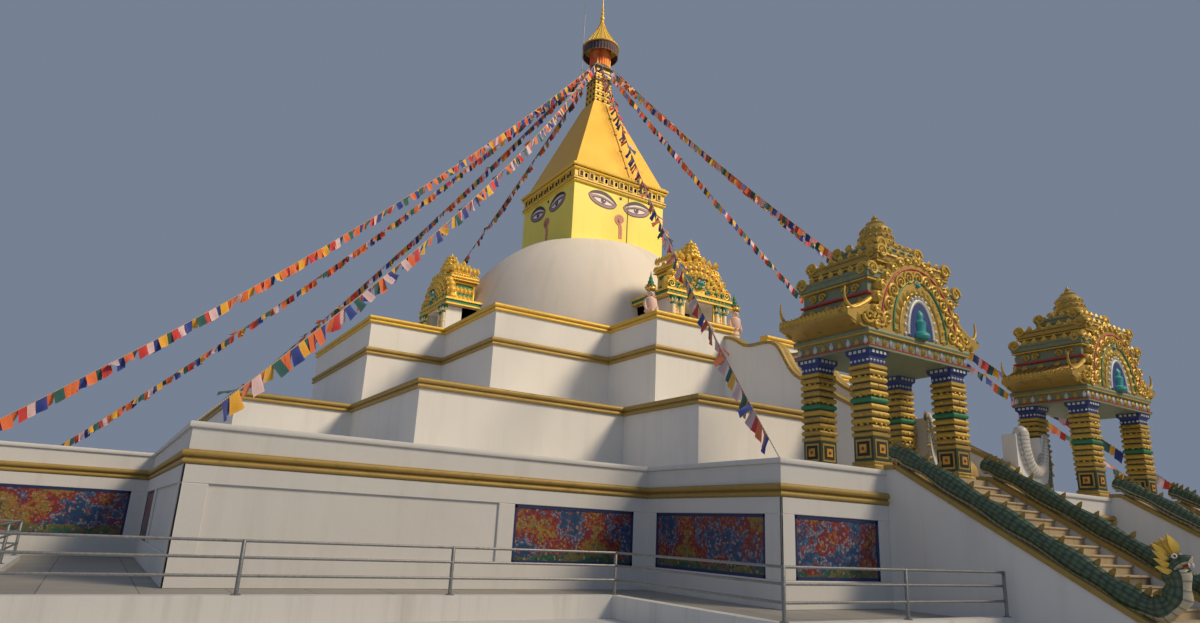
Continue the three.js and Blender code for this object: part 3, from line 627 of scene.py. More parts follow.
# Second and third terraces: plain plastered walls, each closed by a gold-brown
# or gold moulding run in cement. The third has a walled walk round the dome.
SECOND, THIRD = (14.2, 6.7, 18.3), (10.1, 4.8, 13.4)
for node in ("second_terrace", "third_terrace", "third_parapet_left", "third_parapet_right"):
    dress(node, WHITE)
run_moulding("second_coping", SECOND, two_rolls(5.56, 5.88, 0.12, 0.4), BRONZE, "bronze_band",
             "second_terrace_coping")
run_moulding("third_band", THIRD, two_rolls(8.32, 8.64, BAND_PROUD), BRONZE, "gold_paint",
             "third_terrace_band")
run_moulding("parapet_coping", THIRD, two_rolls(9.69, 10.0, 0.12, 0.36), GOLD, "gold_paint",
             ("third_parapet_coping_left", "third_parapet_coping_right"), gap=0.95)


# Dome: a drum and a half-round of brick, plastered and whitewashed, with a low
# roll at its foot, rain streaks that run down from the harmika, and painted
# shade that greys the whitewash towards its foot.
DOME_R, DOME_MIDDLE, HARMIKA_LOW = 7.88, 10.0, 16.6
wash = Finish("dome_whitewash", Specular_IOR_Level=0.3)
place = wash.spot()
turn_round = wash.node("ShaderNodeMath", {"operation": "ARCTAN2"},
                       {0: wash.part(place, 1), 1: wash.part(place, 0)})
lift = wash.part(place, 2)
polar = wash.node("ShaderNodeCombineXYZ", None, {0: turn_round * 9, 1: lift * 0.16, 2: 0.0})
runs = wash.noise(1.0, 5, 0.65, polar)
blotch = wash.noise(0.28, 5)
# Painted shade: the whitewash turns grey towards the dome's foot, where the parapet's shadow falls.
foot = 1 - wash.band(lift, 8.7, 11.6)
tint = wash.mix(wash.band(blotch, 0.3, 0.75) * 0.7, (0.76, 0.71, 0.635), (0.68, 0.61, 0.53))
tint = wash.mix(wash.band(runs, 0.50, 0.8) * 0.3, tint, (0.48, 0.44, 0.385))
tint = wash.mix(foot * 0.45, tint, (0.45, 0.445, 0.44))
DOME = wash.wear(tint, 0.6 + blotch * 0.3, wash.noise(2.2, 3) + wash.noise(26, 4) * 0.35, 0.006)
dome = Mould()
last = math.asin((HARMIKA_LOW - DOME_MIDDLE) / DOME_R)
profile = [(DOME_R, 8.64), (DOME_R + 0.10, 8.66), (DOME_R + 0.13, 8.74), (DOME_R + 0.10, 8.83), (DOME_R, 8.87)]
profile += [(DOME_R * math.cos(last * i / 36), DOME_MIDDLE + DOME_R * math.sin(last * i / 36)) for i in range(37)]
turned(dome, profile, sides=144)
dome.cast("dome_shell", [DOME], "white_masonry", 50, replaces="dome")


# Harmika: the square box over the dome, rendered and painted golden yellow, with
# a pair of painted plaster eyes, a dot and a curled nose on each of its faces.
HARMIKA, HARMIKA_TOP = 3.0, 20.0


def house_paint(name, tone, faded, rough=0.42, metal=0.0, grain=0.003):
    """Oil paint on render: brushed, a little faded, dusty in patches."""
    coat = Finish(name, Metallic=metal)
    brush, fade = coat.noise(9, 4, 0.6, coat.spot((1, 1, 3))), coat.noise(0.6, 5)
    runs = streaks(coat, 3.0, 0.25)
    colour = coat.mix(coat.band(fade, 0.35, 0.7) * 0.6, tone, faded)
    colour = coat.mix(coat.band(runs, 0.56, 0.8) * 0.30, colour, tuple(v * 0.62 for v in tone))
    coat.wear(colour, rough + fade * 0.25, brush + coat.noise(40, 3) * 0.4, grain)
    return coat.material


HARMIKA_YELLOW = house_paint("harmika_yellow", (0.86, 0.71, 0.075), (0.90, 0.80, 0.17), 0.36)
EYE_LINE = house_paint("brow_dark", (0.030, 0.018, 0.016), (0.06, 0.035, 0.03))
EYE_WHITE = house_paint("eye_white", (0.80, 0.70, 0.66), (0.86, 0.78, 0.75))
EYE_MAUVE = house_paint("eyelid_mauve", (0.30, 0.17, 0.20), (0.40, 0.27, 0.28))
EYE_IRIS = house_paint("eye_iris", (0.055, 0.025, 0.06), (0.10, 0.05, 0.09))
NOSE_CORAL = house_paint("nose_coral", (0.64, 0.22, 0.13), (0.74, 0.36, 0.24))
dress("harmika", HARMIKA_YELLOW)


def plate(mould, outline, low, high, place, paint=0):
    """A flat shape from its outline, from depth low to depth high."""
    count = len(outline)
    points = [place(u, low, v) for u, v in outline] + [place(u, high, v) for u, v in outline]
    faces = [list(range(count)), list(range(count, 2 * count))[::-1]]
    faces += [[k, k + count, (k + 1) % count + count, (k + 1) % count] for k in range(count)]
    mould.add(points, faces, paint)


def stroke(mould, line, wide, low, high, place, paint=0):
    """A brushed line of changing width, laid proud of a wall."""
    left, right_side = [], []
    for i, (u, v) in enumerate(line):
        before, after = line[max(i - 1, 0)], line[min(i + 1, len(line) - 1)]
        du, dv = after[0] - before[0], after[1] - before[1]
        size = math.hypot(du, dv) or 1
        half = (wide[i] if hasattr(wide, "__len__") else wide) / 2
        left.append((u - dv / size * half, v + du / size * half))
        right_side.append((u + dv / size * half, v - du / size * half))
    rows = [[place(*left[i][:1], low, left[i][1]), place(left[i][0], high, left[i][1]),
             place(right_side[i][0], high, right_side[i][1]), place(right_side[i][0], low, right_side[i][1])]
            for i in range(len(line))]
    mould.rows(rows, paint, ends=True)


def sampled(points, steps=6):
    """A smooth line through the given points."""
    ends = [points[0], *points, points[-1]]
    line = []
    for i in range(1, len(ends) - 2):
        for k in range(steps):
            t = k / steps
            line.append(tuple(0.5 * (2 * b + (c - a) * t + (2 * a - 5 * b + 4 * c - d) * t * t
                                     + (3 * b - a - 3 * c + d) * t ** 3)
                              for a, b, c, d in zip(*ends[i - 1:i + 3])))
    return line + [tuple(points[-1])]


UPPER = [(-0.93, 0.11), (-0.74, 0.31), (-0.35, 0.44), (0.10, 0.44), (0.50, 0.29), (0.80, 0.05), (0.93, -0.11)]
LOWER = [(-0.93, 0.11), (-0.80, -0.13), (-0.50, -0.32), (-0.05, -0.43), (0.40, -0.45), (0.76, -0.33), (0.93, -0.11)]
BROW_FOOT = [(-0.84, 0.19), (-0.42, 0.27), (0.05, 0.26), (0.50, 0.12), (0.84, -0.04)]
SLIT_TOP = [(-0.66, -0.01), (-0.30, 0.05), (0.10, 0.03), (0.45, -0.07), (0.72, -0.16)]
SLIT_LOW = [(-0.66, -0.01), (-0.34, -0.19), (0.06, -0.27), (0.44, -0.26), (0.72, -0.16)]
NOSE = [(0.10, 18.44), (0.05, 18.52), (-0.04, 18.50), (-0.06, 18.41), (0.02, 18.34), (0.14, 18.37),
        (0.22, 18.48), (0.16, 18.62), (0.02, 18.67), (-0.15, 18.60), (-0.20, 18.43), (-0.10, 18.27),
        (0.05, 18.14), (0.10, 17.90), (0.10, 17.36)]


def disc(mould, at, radius, high, place, paint, roof=99.0):
    """A round painted spot, cut off level at the given height."""
    plate(mould, [(at[0] + radius * math.cos(math.pi * k / 12), min(roof, at[1] + radius * math.sin(math.pi * k / 12)))
                  for k in range(24)], -0.01, high, place, paint)


def tapered(count, thin, thick):
    return [thin + (thick - thin) * math.sin(math.pi * k / (count - 1)) for k in range(count)]


for turn, side_name in enumerate(("front", "right", "back", "left")):
    eyes = Mould()
    angle = math.pi / 2 * turn

    def on_face(u, out, v, angle=angle):
        x, y = u, -(HARMIKA + out)
        return (x * math.cos(angle) - y * math.sin(angle), x * math.sin(angle) + y * math.cos(angle), v)

    for flip in (-1, 1):
        def on_eye(u, out, v, flip=flip, on_face=on_face):
            return on_face(flip * (1.15 - u), out, 19.38 + v)

        upper, lower, foot = sampled(UPPER), sampled(LOWER), sampled(BROW_FOOT)
        top, low = sampled(SLIT_TOP), sampled(SLIT_LOW)
        plate(eyes, upper + lower[-2:0:-1], -0.01, 0.012, on_eye, 2)
        plate(eyes, upper[2:-2] + foot[-2:0:-1], -0.01, 0.024, on_eye, 0)
        stroke(eyes, [(u, v - 0.055) for u, v in foot[2:-2]], tapered(len(foot) - 4, 0.03, 0.10), -0.01, 0.018,
               on_eye, 1)
        plate(eyes, top + low[-2:0:-1], -0.01, 0.016, on_eye, 1)
        disc(eyes, (0.04, -0.07), 0.17, 0.020, on_eye, 3, 0.03)
        disc(eyes, (0.10, -0.04), 0.035, 0.024, on_eye, 1)
        stroke(eyes, top, tapered(len(top), 0.02, 0.06), -0.01, 0.026, on_eye, 0)
        stroke(eyes, low, tapered(len(low), 0.015, 0.03), -0.01, 0.022, on_eye, 3)
        stroke(eyes, lower, tapered(len(lower), 0.02, 0.055), -0.01, 0.018, on_eye, 3)
        stroke(eyes, upper, tapered(len(upper), 0.02, 0.045), -0.01, 0.026, on_eye, 0)
    disc(eyes, (0.04, 19.76), 0.085, 0.020, on_face, 0)
    disc(eyes, (0.04, 19.76), 0.045, 0.028, on_face, 3)
    nose = sampled(NOSE)
    stroke(eyes, nose, [0.09 + 0.12 * min(1, k / 50) for k in range(len(nose))], -0.01, 0.03, on_face, 4)
    stroke(eyes, nose[2:-2], 0.025, -0.01, 0.036, on_face, 2)
    eyes.cast(f"eyes_{side_name}", [EYE_LINE, EYE_WHITE, EYE_MAUVE, EYE_IRIS, NOSE_CORAL], smooth=30)


# Cornice over the harmika: run mouldings in gold paint, a frieze of framed
# sockets like beam ends whose hollows are dark plates of painted shadow, brown
# strips of painted shade in the grooves and between the sockets, and a pale row
# of beads at the pyramid's foot.
# Near-black paint: painted shadow in the cornice sockets and shaft openings, and real dark paint on pupils and
# medallions.
DARK_PAINT_AND_SHADE = gilded("dark_paint_and_painted_shadow", (0.030, 0.020, 0.012), (0.05, 0.035, 0.02), 0.0, 0.6)
CORNICE_YELLOW = house_paint("cornice_yellow", (0.84, 0.54, 0.05), (0.88, 0.64, 0.12), 0.36)
# Dark brown paint that stands for shade in the cornice grooves and on the shaded sides between the sockets.
CORNICE_SHADE = house_paint("cornice_painted_shade", (0.30, 0.20, 0.03), (0.40, 0.28, 0.06), 0.4)
LEAF_GOLD = gilded("leaf_gold", (0.80, 0.53, 0.09), (0.30, 0.17, 0.03), 0.4, 0.34, 0.5)


def square_rows(mould, section, paint=0, middle=(0, 0), deep=1.0, ends=True):
    """Stacks square rings of (half width, height) into a mitred block."""
    mould.rows([[(middle[0] + sx * half, middle[1] + sy * half * deep, z)
                 for sx, sy in ((-1, -1), (1, -1), (1, 1), (-1, 1))] for half, z in section], paint, ends=ends)


def bead(mould, at, size, paint=0, sides=8, tall=1.0):
    rows = [[(at[0] + size * math.sin(math.pi * j / 5) * math.cos(2 * math.pi * k / sides),
              at[1] + size * math.sin(math.pi * j / 5) * math.sin(2 * math.pi * k / sides),
              at[2] - size * tall * math.cos(math.pi * j / 5)) for k in range(sides)]
            for j in (0.4, 1.4, 2.5, 3.6, 4.6)]
    mould.rows(rows, paint, ends=True)


cornice = Mould()
square_rows(cornice, [
    (3.0, 20.0), (3.10, 20.01), (3.12, 20.05), (3.10, 20.10), (3.04, 20.13), (3.12, 20.17), (3.12, 20.24),
    (3.04, 20.28), (3.04, 20.70), (3.13, 20.73), (3.16, 20.79), (3.13, 20.85), (3.08, 20.89),
    (3.22, 20.92), (3.24, 20.98), (3.22, 21.03), (3.10, 21.06), (3.10, 21.15), (2.9, 21.15)])
SOCKETS = 9
for turn in range(4):
    angle = math.pi / 2 * turn

    def on_side(u, out, v, angle=angle):
        return (u * math.cos(angle) + out * math.sin(angle), u * math.sin(angle) - out * math.cos(angle), v)

    # Painted shade: dark strips laid in the grooves of the run mouldings.
    for low, high, out in ((20.125, 20.165, 3.09), (20.245, 20.275, 3.10), (20.865, 20.915, 3.14), (21.035, 21.07, 3.15)):
        block(cornice, (-out, 2.9, low), (out, out, high), 2, on_side)
    for k in range(SOCKETS):
        u = (k - (SOCKETS - 1) / 2) * 0.66
        block(cornice, (u - 0.155, 3.0, 20.34), (u + 0.155, 3.10, 20.70), 0, on_side)
        # Painted shadow: a dark plate, proud of each socket's frame, stands for its hollow.
        block(cornice, (u - 0.095, 3.0, 20.375), (u + 0.095, 3.108, 20.665), 1, on_side)
        for flip in (-1, 1):
            if abs(u + flip * 0.33) < 2.95:
                # Painted shade: a brown plate between sockets stands for a bracket's shaded side.
                block(cornice, (u + flip * 0.33 - 0.06, 3.0, 20.40), (u + flip * 0.33 + 0.06, 3.075, 20.60), 2, on_side)
    for k in range(44):
        bead(cornice, on_side(-3.075 + 0.143 * k, 3.10, 21.10), 0.055, 0, 6)
cornice.cast("cornice_mouldings", [CORNICE_YELLOW, DARK_PAINT_AND_SHADE, CORNICE_SHADE], "gold_paint", 30,
             replaces="harmika_cornice")


# Pyramid: four smooth rendered slopes in golden-orange paint, with the flat
# copper earth strap of the lightning rod clipped down its front.
PYRAMID_GOLD = house_paint("pyramid_golden", (0.84, 0.45, 0.03), (0.88, 0.53, 0.06), 0.34, 0.1)
dress("pyramid", PYRAMID_GOLD)
COPPER = gilded("earth_strap_copper", (0.22, 0.13, 0.05), (0.10, 0.09, 0.05), 0.5, 0.5)
strap = Mould()
tube(strap, [(0.13, -0.70, 26.88), (0.16, -0.90, 26.45), (0.60, -2.87, 21.44), (0.62, -3.0, 21.17),
             (0.62, -3.16, 21.12)], 0.020, 6, flat=0.6)
tube(strap, [(0.56, -3.02, 20.02), (0.54, -3.02, 18.2), (0.54, -3.02, 16.62)], 0.018, 6)
for t in (0.15, 0.4, 0.65, 0.9):
    y = -0.90 - 1.97 * t
    block(strap, (0.08 + 0.44 * t, y - 0.03, 26.43 - 5.01 * t), (0.24 + 0.44 * t, y + 0.06, 26.50 - 5.01 * t))
strap.cast("earth_strap", [COPPER], smooth=30)


# Ringed shaft: twelve moulded stages in gold, every second one with small
# openings given as proud dark plates of painted shade, and the steel collar that
# holds the strings.
shaft = Mould()
square_rows(shaft, [(0.48, 26.9), (0.48, 31.1)])
for stage in range(12):
    half, base = 0.60 - stage * 0.006, 26.90 + stage * 0.20
    square_rows(shaft, [(half - 0.035, base), (half - 0.02, base + 0.005), (half, base + 0.02), (half, base + 0.10),
                        (half - 0.02, base + 0.12), (half - 0.035, base + 0.128), (half - 0.04, base + 0.20)])
    for turn in range(4):
        angle = math.pi / 2 * turn

        def on_stage(u, out, v, angle=angle):
            return (u * math.cos(angle) + out * math.sin(angle), u * math.sin(angle) - out * math.cos(angle), v)

        for k in range(3 if stage % 2 else 0):
            u = (k - 1) * 0.37
            # Painted shade: a dark plate, proud of the ring, stands for each opening.
            block(shaft, (u - 0.075, 0.4, base - 0.005), (u + 0.075, half + 0.005, base + 0.125), 1, on_stage)
shaft.cast("shaft_rings", [GOLD, DARK_PAINT_AND_SHADE], "gold_paint", 30, replaces="ringed_shaft")
COLLAR_STEEL = gilded("collar_steel", (0.17, 0.165, 0.16), (0.12, 0.07, 0.04), 0.4, 0.6)
dress("flag_collar", COLLAR_STEEL)


# Umbrella: a gathered dark brown cloth valance with gold edging, hung from the
# rim of a ribbed, hollow-curved gilt cap.
RIM, CAP_LOW, CAP_TOP, DROP = 1.14, 31.1, 33.1, 0.60
valance_cloth = Finish("valance_cloth", Sheen_Weight=0.3, Roughness=0.8)
fall = valance_cloth.part(valance_cloth.spot(), 2)
edge_gold = fall < 30.54
weave = valance_cloth.noise(120, 2)
brown = valance_cloth.mix(valance_cloth.band(valance_cloth.noise(3, 4), 0.35, 0.7),
                          (0.022, 0.016, 0.040), (0.105, 0.040, 0.036))
VALANCE = valance_cloth.wear(valance_cloth.mix(edge_gold, brown, (0.30, 0.18, 0.05)), height=weave, deep=0.001)
hung = Mould()
PLEATS, AROUND = 36, 216
rows = []
for j in range(9):
    z = CAP_LOW - 0.01 - (DROP - 0.02) * j / 8
    deep = 0.010 + 0.016 * j / 8
    rows.append([((RIM - 0.030 + deep * math.sin(2 * math.pi * k * PLEATS / AROUND)) * math.cos(2 * math.pi * k / AROUND),
                  (RIM - 0.030 + deep * math.sin(2 * math.pi * k * PLEATS / AROUND)) * math.sin(2 * math.pi * k / AROUND), z)
                 for k in range(AROUND)])
hung.rows(rows)
valance = hung.cast("valance", [VALANCE], "dark_valance", 70, replaces="umbrella_valance")

cap = Mould()
height = CAP_TOP - CAP_LOW
curve = [(0.30, CAP_LOW + 0.02), (RIM + 0.02, CAP_LOW), (RIM + 0.05, CAP_LOW + 0.03), (RIM + 0.03, CAP_LOW + 0.07)]
curve += [(0.10 + (RIM - 0.11) * (1 - i / 16) ** 1.27, CAP_LOW + 0.08 + (height - 0.08) * i / 16) for i in range(17)]
turned(cap, curve, sides=144)
for k in range(24):
    turn = 2 * math.pi * k / 24
    rib = [((r + 0.012) * math.cos(turn), (r + 0.012) * math.sin(turn), z) for r, z in curve[4:]]
    tube(cap, rib, [0.022 * (1 - 0.6 * i / 16) for i in range(17)], 8)
    bead(cap, ((RIM - 0.01) * math.cos(turn), (RIM - 0.01) * math.sin(turn), CAP_LOW + 0.09), 0.05)
turned(cap, [(0.14, 32.78), (0.21, 32.80), (0.22, 32.84), (0.16, 32.88), (0.14, 32.96), (0.16, 33.0), (0.11, 33.08)],
       sides=48)
cap.cast("umbrella_cap_ribs", [LEAF_GOLD], "gold_paint", 45, replaces="umbrella_cap")


# Neck cloth: red and orange cotton wound in gathers round the head of the shaft,
# under the umbrella, where the strings of flags are gathered.
neck_cotton = Finish("neck_cotton", Sheen_Weight=0.3, Roughness=0.85)
dyed = neck_cotton.band(neck_cotton.noise(2.2, 3), 0.42, 0.58)
red = neck_cotton.mix(dyed, (0.72, 0.06, 0.02), (0.88, 0.30, 0.04))
NECK_RED = neck_cotton.wear(neck_cotton.mix(neck_cotton.band(neck_cotton.noise(0.9, 3), 0.58, 0.7) * 0.6, red,
                                            (0.66, 0.42, 0.36)), height=neck_cotton.noise(120, 2), deep=0.001)
NECK_LOW, NECK_HIGH = 29.68, 30.92
wound = Mould()
wound.rows([[((0.640 + 0.03 * t + 0.016 * math.sin(26 * math.tau * k / 208)) * math.cos(math.tau * k / 208),
              (0.640 + 0.03 * t + 0.016 * math.sin(26 * math.tau * k / 208)) * math.sin(math.tau * k / 208),
              NECK_LOW + (NECK_HIGH - NECK_LOW) * t) for k in range(208)] for t in (0, 0.15, 0.35, 0.5, 0.7, 0.85, 1)])
neck = wound.cast("neck_cloth", [NECK_RED], smooth=70)


# Pinnacle: turned gilt vase, discs and beads on one stem, tipped with a spike.
spire = Mould()
turned(spire, sampled([(0.14, 33.10), (0.13, 33.15), (0.08, 33.22), (0.11, 33.30), (0.14, 33.38), (0.14, 33.46),
                       (0.10, 33.55), (0.065, 33.62), (0.07, 33.68), (0.105, 33.75), (0.11, 33.79), (0.09, 33.85),
                       (0.05, 33.93), (0.05, 33.98), (0.075, 34.05), (0.08, 34.09), (0.04, 34.22), (0.033, 34.5),
                       (0.027, 34.9), (0.012, 35.2), (0.001, 35.4)], 4), sides=32)
spire.cast("pinnacle_beads", [LEAF_GOLD], "gold_paint", 60, replaces="pinnacle")


# Lightning rod: a pale steel pipe on two arms clamped round the shaft.
rod = Mould()
tube(rod, [(-1.29, 0, 28.3), (-1.29, 0, 33.2)], 0.022, 10)
tube(rod, [(-1.29, 0, 33.2), (-1.29, 0, 34.0), (-1.29, 0, 34.2)], [0.016, 0.014, 0.001], 8)
bead(rod, (-1.29, 0, 33.2), 0.04)
for stage in (8, 11):
    half, z = 0.60 - stage * 0.006 + 0.0006, 26.90 + stage * 0.20
    tube(rod, [(-half - 0.02, 0, z + 0.06), (-1.29, 0, z + 0.06)], 0.018, 8)
    turned(rod, [(0.034, z + 0.03), (0.036, z + 0.06), (0.034, z + 0.09)], (-1.29, 0), 12)
    for sx, sy in ((-1, 0), (1, 0), (0, -1), (0, 1)):
        low = [sx * half - (0.05 if sx < 0 else 0) - (half if sy else 0),
               sy * half - (0.05 if sy < 0 else 0) - (half if sx else 0), z + 0.03]
        high = [sx * half + (0.05 if sx > 0 else 0) + (half if sy else 0),
                sy * half + (0.05 if sy > 0 else 0) + (half if sx else 0), z + 0.09]
        block(rod, low, high, 1)
rod.cast("rod_and_arms", [PIPE, COLLAR_STEEL], "steel_pipe", 40, replaces="lightning_rod")


# Gateways: one on each side of the dome, in moulded cement. Gold column pairs on
# a white pedestal carry a green lintel, a scalloped arch of gilt leaves round a
# guardian mask, and a stepped gilt roof with a finial.
PEDESTAL, PIER, DOOR, DOOR_TOP, LINTEL_TOP = 9.8, 1.65, 0.85, 12.05, 12.4
GREEN = gilded("capital_green", (0.03, 0.20, 0.09), (0.10, 0.13, 0.05), 0.1, 0.38)
TEAL = gilded("mask_teal", (0.04, 0.36, 0.34), (0.03, 0.14, 0.12), 0.0, 0.35)
IVORY = gilded("mask_ivory", (0.80, 0.76, 0.66), (0.45, 0.40, 0.30), 0.0, 0.35)
CREAM = gilded("pier_cream", (0.80, 0.66, 0.40), (0.45, 0.33, 0.16), 0.15, 0.45)
CRIMSON = gilded("ornament_red", (0.42, 0.035, 0.025), (0.16, 0.03, 0.02), 0.0, 0.4)


def leaf(mould, at, grow, outward, size, paint=0, wide=0.62, curl=0.0):
    """A moulded flame leaf with a raised middle rib; it grows one way and faces outward."""
    grow, outward = Vector(grow).normalized(), Vector(outward).normalized()
    side = grow.cross(outward)
    at = Vector(at)
    rim = [(-0.16, 0.0), (-0.50, 0.26), (-0.42, 0.56), (-0.20, 0.80), (0.10 + curl, 1.0),
           (0.26, 0.78), (0.46, 0.52), (0.50, 0.24), (0.16, 0.0)]
    points = [at + side * (u * wide * size) + grow * (v * size) for u, v in rim]
    points += [at + side * (0.02 * size) + grow * (v * size) + outward * (h * size)
               for v, h in ((0.0, 0.16), (0.30, 0.30), (0.62, 0.20))]
    faces = [(0, 1, 10, 9), (1, 2, 10), (2, 3, 11, 10), (3, 4, 11), (4, 5, 11), (5, 6, 10, 11), (6, 7, 10),
             (7, 8, 9, 10), (8, 7, 6, 5, 4, 3, 2, 1, 0), (0, 9, 8)]
    mould.add(points, faces, paint)


def scroll(mould, at, across, grow, outward, size, turns=1.6, paint=0, thick=0.13):
    """A curled tendril that tapers to its eye."""
    across, grow, outward = (Vector(v).normalized() for v in (across, grow, outward))
    route, sizes = [], []
    for i in range(18):
        t = i / 17
        turn, r = turns * 2 * math.pi * t, size * (1 - 0.86 * t)
        route.append(Vector(at) + across * (r * math.cos(turn) - size) + grow * (r * math.sin(turn))
                     + outward * (0.10 * size * t))
        sizes.append(size * thick * (1.1 - 0.5 * t))
    tube(mould, route, sizes, 6, paint)
    bead(mould, route[-1], size * 0.17, paint, 6)


def moved(mould, start, spin):
    """Turns the points cast since start by quarter turns about the dome's axis."""
    angle = math.pi / 2 * spin
    c, s = math.cos(angle), math.sin(angle)
    mould.points[start:] = [(x * c - y * s, x * s + y * c, z) for x, y, z in mould.points[start:]]


def guardian_mask(mould, at, size, colours):
    """A round guardian face over an arch, facing -Y: brows, eyes, snout, fangs, horns."""
    skin, white, dark, gold = colours
    x, y, z = at
    bead(mould, (x, y, z), size * 0.62, skin, 14, 0.80)
    bead(mould, (x, y - size * 0.50, z - size * 0.12), size * 0.24, skin, 10, 0.8)
    for flip in (-1, 1):
        bead(mould, (x + flip * size * 0.27, y - size * 0.46, z + size * 0.12), size * 0.17, white, 10)
        bead(mould, (x + flip * size * 0.26, y - size * 0.60, z + size * 0.12), size * 0.075, dark, 8)
        tube(mould, [(x + flip * size * u, y - size * 0.52, z + size * v)
                     for u, v in ((0.05, 0.20), (0.18, 0.36), (0.38, 0.38), (0.58, 0.24))],
             [size * 0.05, size * 0.08, size * 0.08, size * 0.03], 6, dark)
        tube(mould, [(x + flip * size * u, y - size * 0.2, z + size * v)
                     for u, v in ((0.40, 0.40), (0.62, 0.62), (0.66, 0.88), (0.50, 1.02))],
             [size * 0.12, size * 0.10, size * 0.06, size * 0.02], 8, gold)
        scroll(mould, (x + flip * size * 0.86, y - size * 0.22, z - size * 0.16), (flip, 0, 0), (0, 0, -1),
               (0, -1, 0), size * 0.30, 1.3, skin)
        leaf(mould, (x + flip * size * 0.45, y - size * 0.35, z - size * 0.40), (flip * 0.5, -0.2, -1), (0, -1, 0),
             size * 0.22, white)
    for k in range(7):
        u = (k - 3) * size * 0.11
        leaf(mould, (x + u, y - size * 0.50 + abs(u) * 0.5, z - size * 0.30), (0, -0.2, -1), (0, -1, 0),
             size * 0.15, white, 0.8)
    tube(mould, [(x + size * 0.46 * math.cos(math.pi * k / 8), y - size * 0.46 + size * 0.10 * abs(math.cos(math.pi * k / 8)),
                  z - size * (0.24 + 0.06 * math.sin(math.pi * k / 8))) for k in range(9)], size * 0.05, 6, gold)
    for k in range(5):
        leaf(mould, (x + (k - 2) * size * 0.20, y - size * 0.30, z + size * (0.48 - 0.05 * abs(k - 2))),
             ((k - 2) * 0.35, 0, 1), (0, -1, 0), size * (0.42 - 0.05 * abs(k - 2)), gold)


def gilt_column(mould, x, y, low, high, radius, shaft_paint, cap_paint, rings=3):
    """A turned column with a lotus base, banded shaft and green capital."""
    r = radius
    turned(mould, [(r * 1.5, low), (r * 1.5, low + 0.06), (r * 1.25, low + 0.10), (r * 1.4, low + 0.16),
                   (r, low + 0.22)], (x, y), 20, shaft_paint)
    section = [(r, low + 0.22)]
    for k in range(rings):
        z = low + 0.22 + (high - low - 0.62) * (k + 1) / (rings + 1)
        section += [(r * 0.97, z - 0.05), (r * 1.18, z - 0.03), (r * 1.18, z + 0.03), (r * 0.97, z + 0.05)]
    section += [(r * 0.95, high - 0.40)]
    turned(mould, section, (x, y), 20, shaft_paint)
    turned(mould, [(r * 0.95, high - 0.40), (r * 1.25, high - 0.37), (r * 1.05, high - 0.31), (r * 1.2, high - 0.22),
                   (r * 1.55, high - 0.10), (r * 1.55, high)], (x, y), 20, cap_paint)
    for k in range(8):
        turn = 2 * math.pi * k / 8
        leaf(mould, (x + r * 1.05 * math.cos(turn), y + r * 1.05 * math.sin(turn), high - 0.32),
             (math.cos(turn) * 0.5, math.sin(turn) * 0.5, 1), (math.cos(turn), math.sin(turn), 0), 0.22, shaft_paint)


def leaf_arch(mould, middle, base, radius, squash, y, size, paint=0, scrolls=0, start=0.0, count=15):
    """Flame leaves fanned round a half-round arch, facing -Y."""
    for k in range(count):
        turn = start + (math.pi - 2 * start) * k / (count - 1)
        c, s = math.cos(turn), math.sin(turn)
        leaf(mould, (middle + radius * c, y, base + radius * squash * s), (c, 0, s * squash + 0.25), (0, -1, 0.15),
             size * (1 + 0.22 * s), paint, 0.7, 0.25 if c < 0 else -0.25)
    for k in range(scrolls):
        turn = start + (math.pi - 2 * start) * (k + 0.5) / scrolls
        c, s = math.cos(turn), math.sin(turn)
        scroll(mould, (middle + radius * 0.86 * c, y - 0.05, base + radius * 0.86 * squash * s),
               (s, 0, -c), (c, 0, s), (0, -1, 0), size * 0.42, 1.5, paint, 0.16)


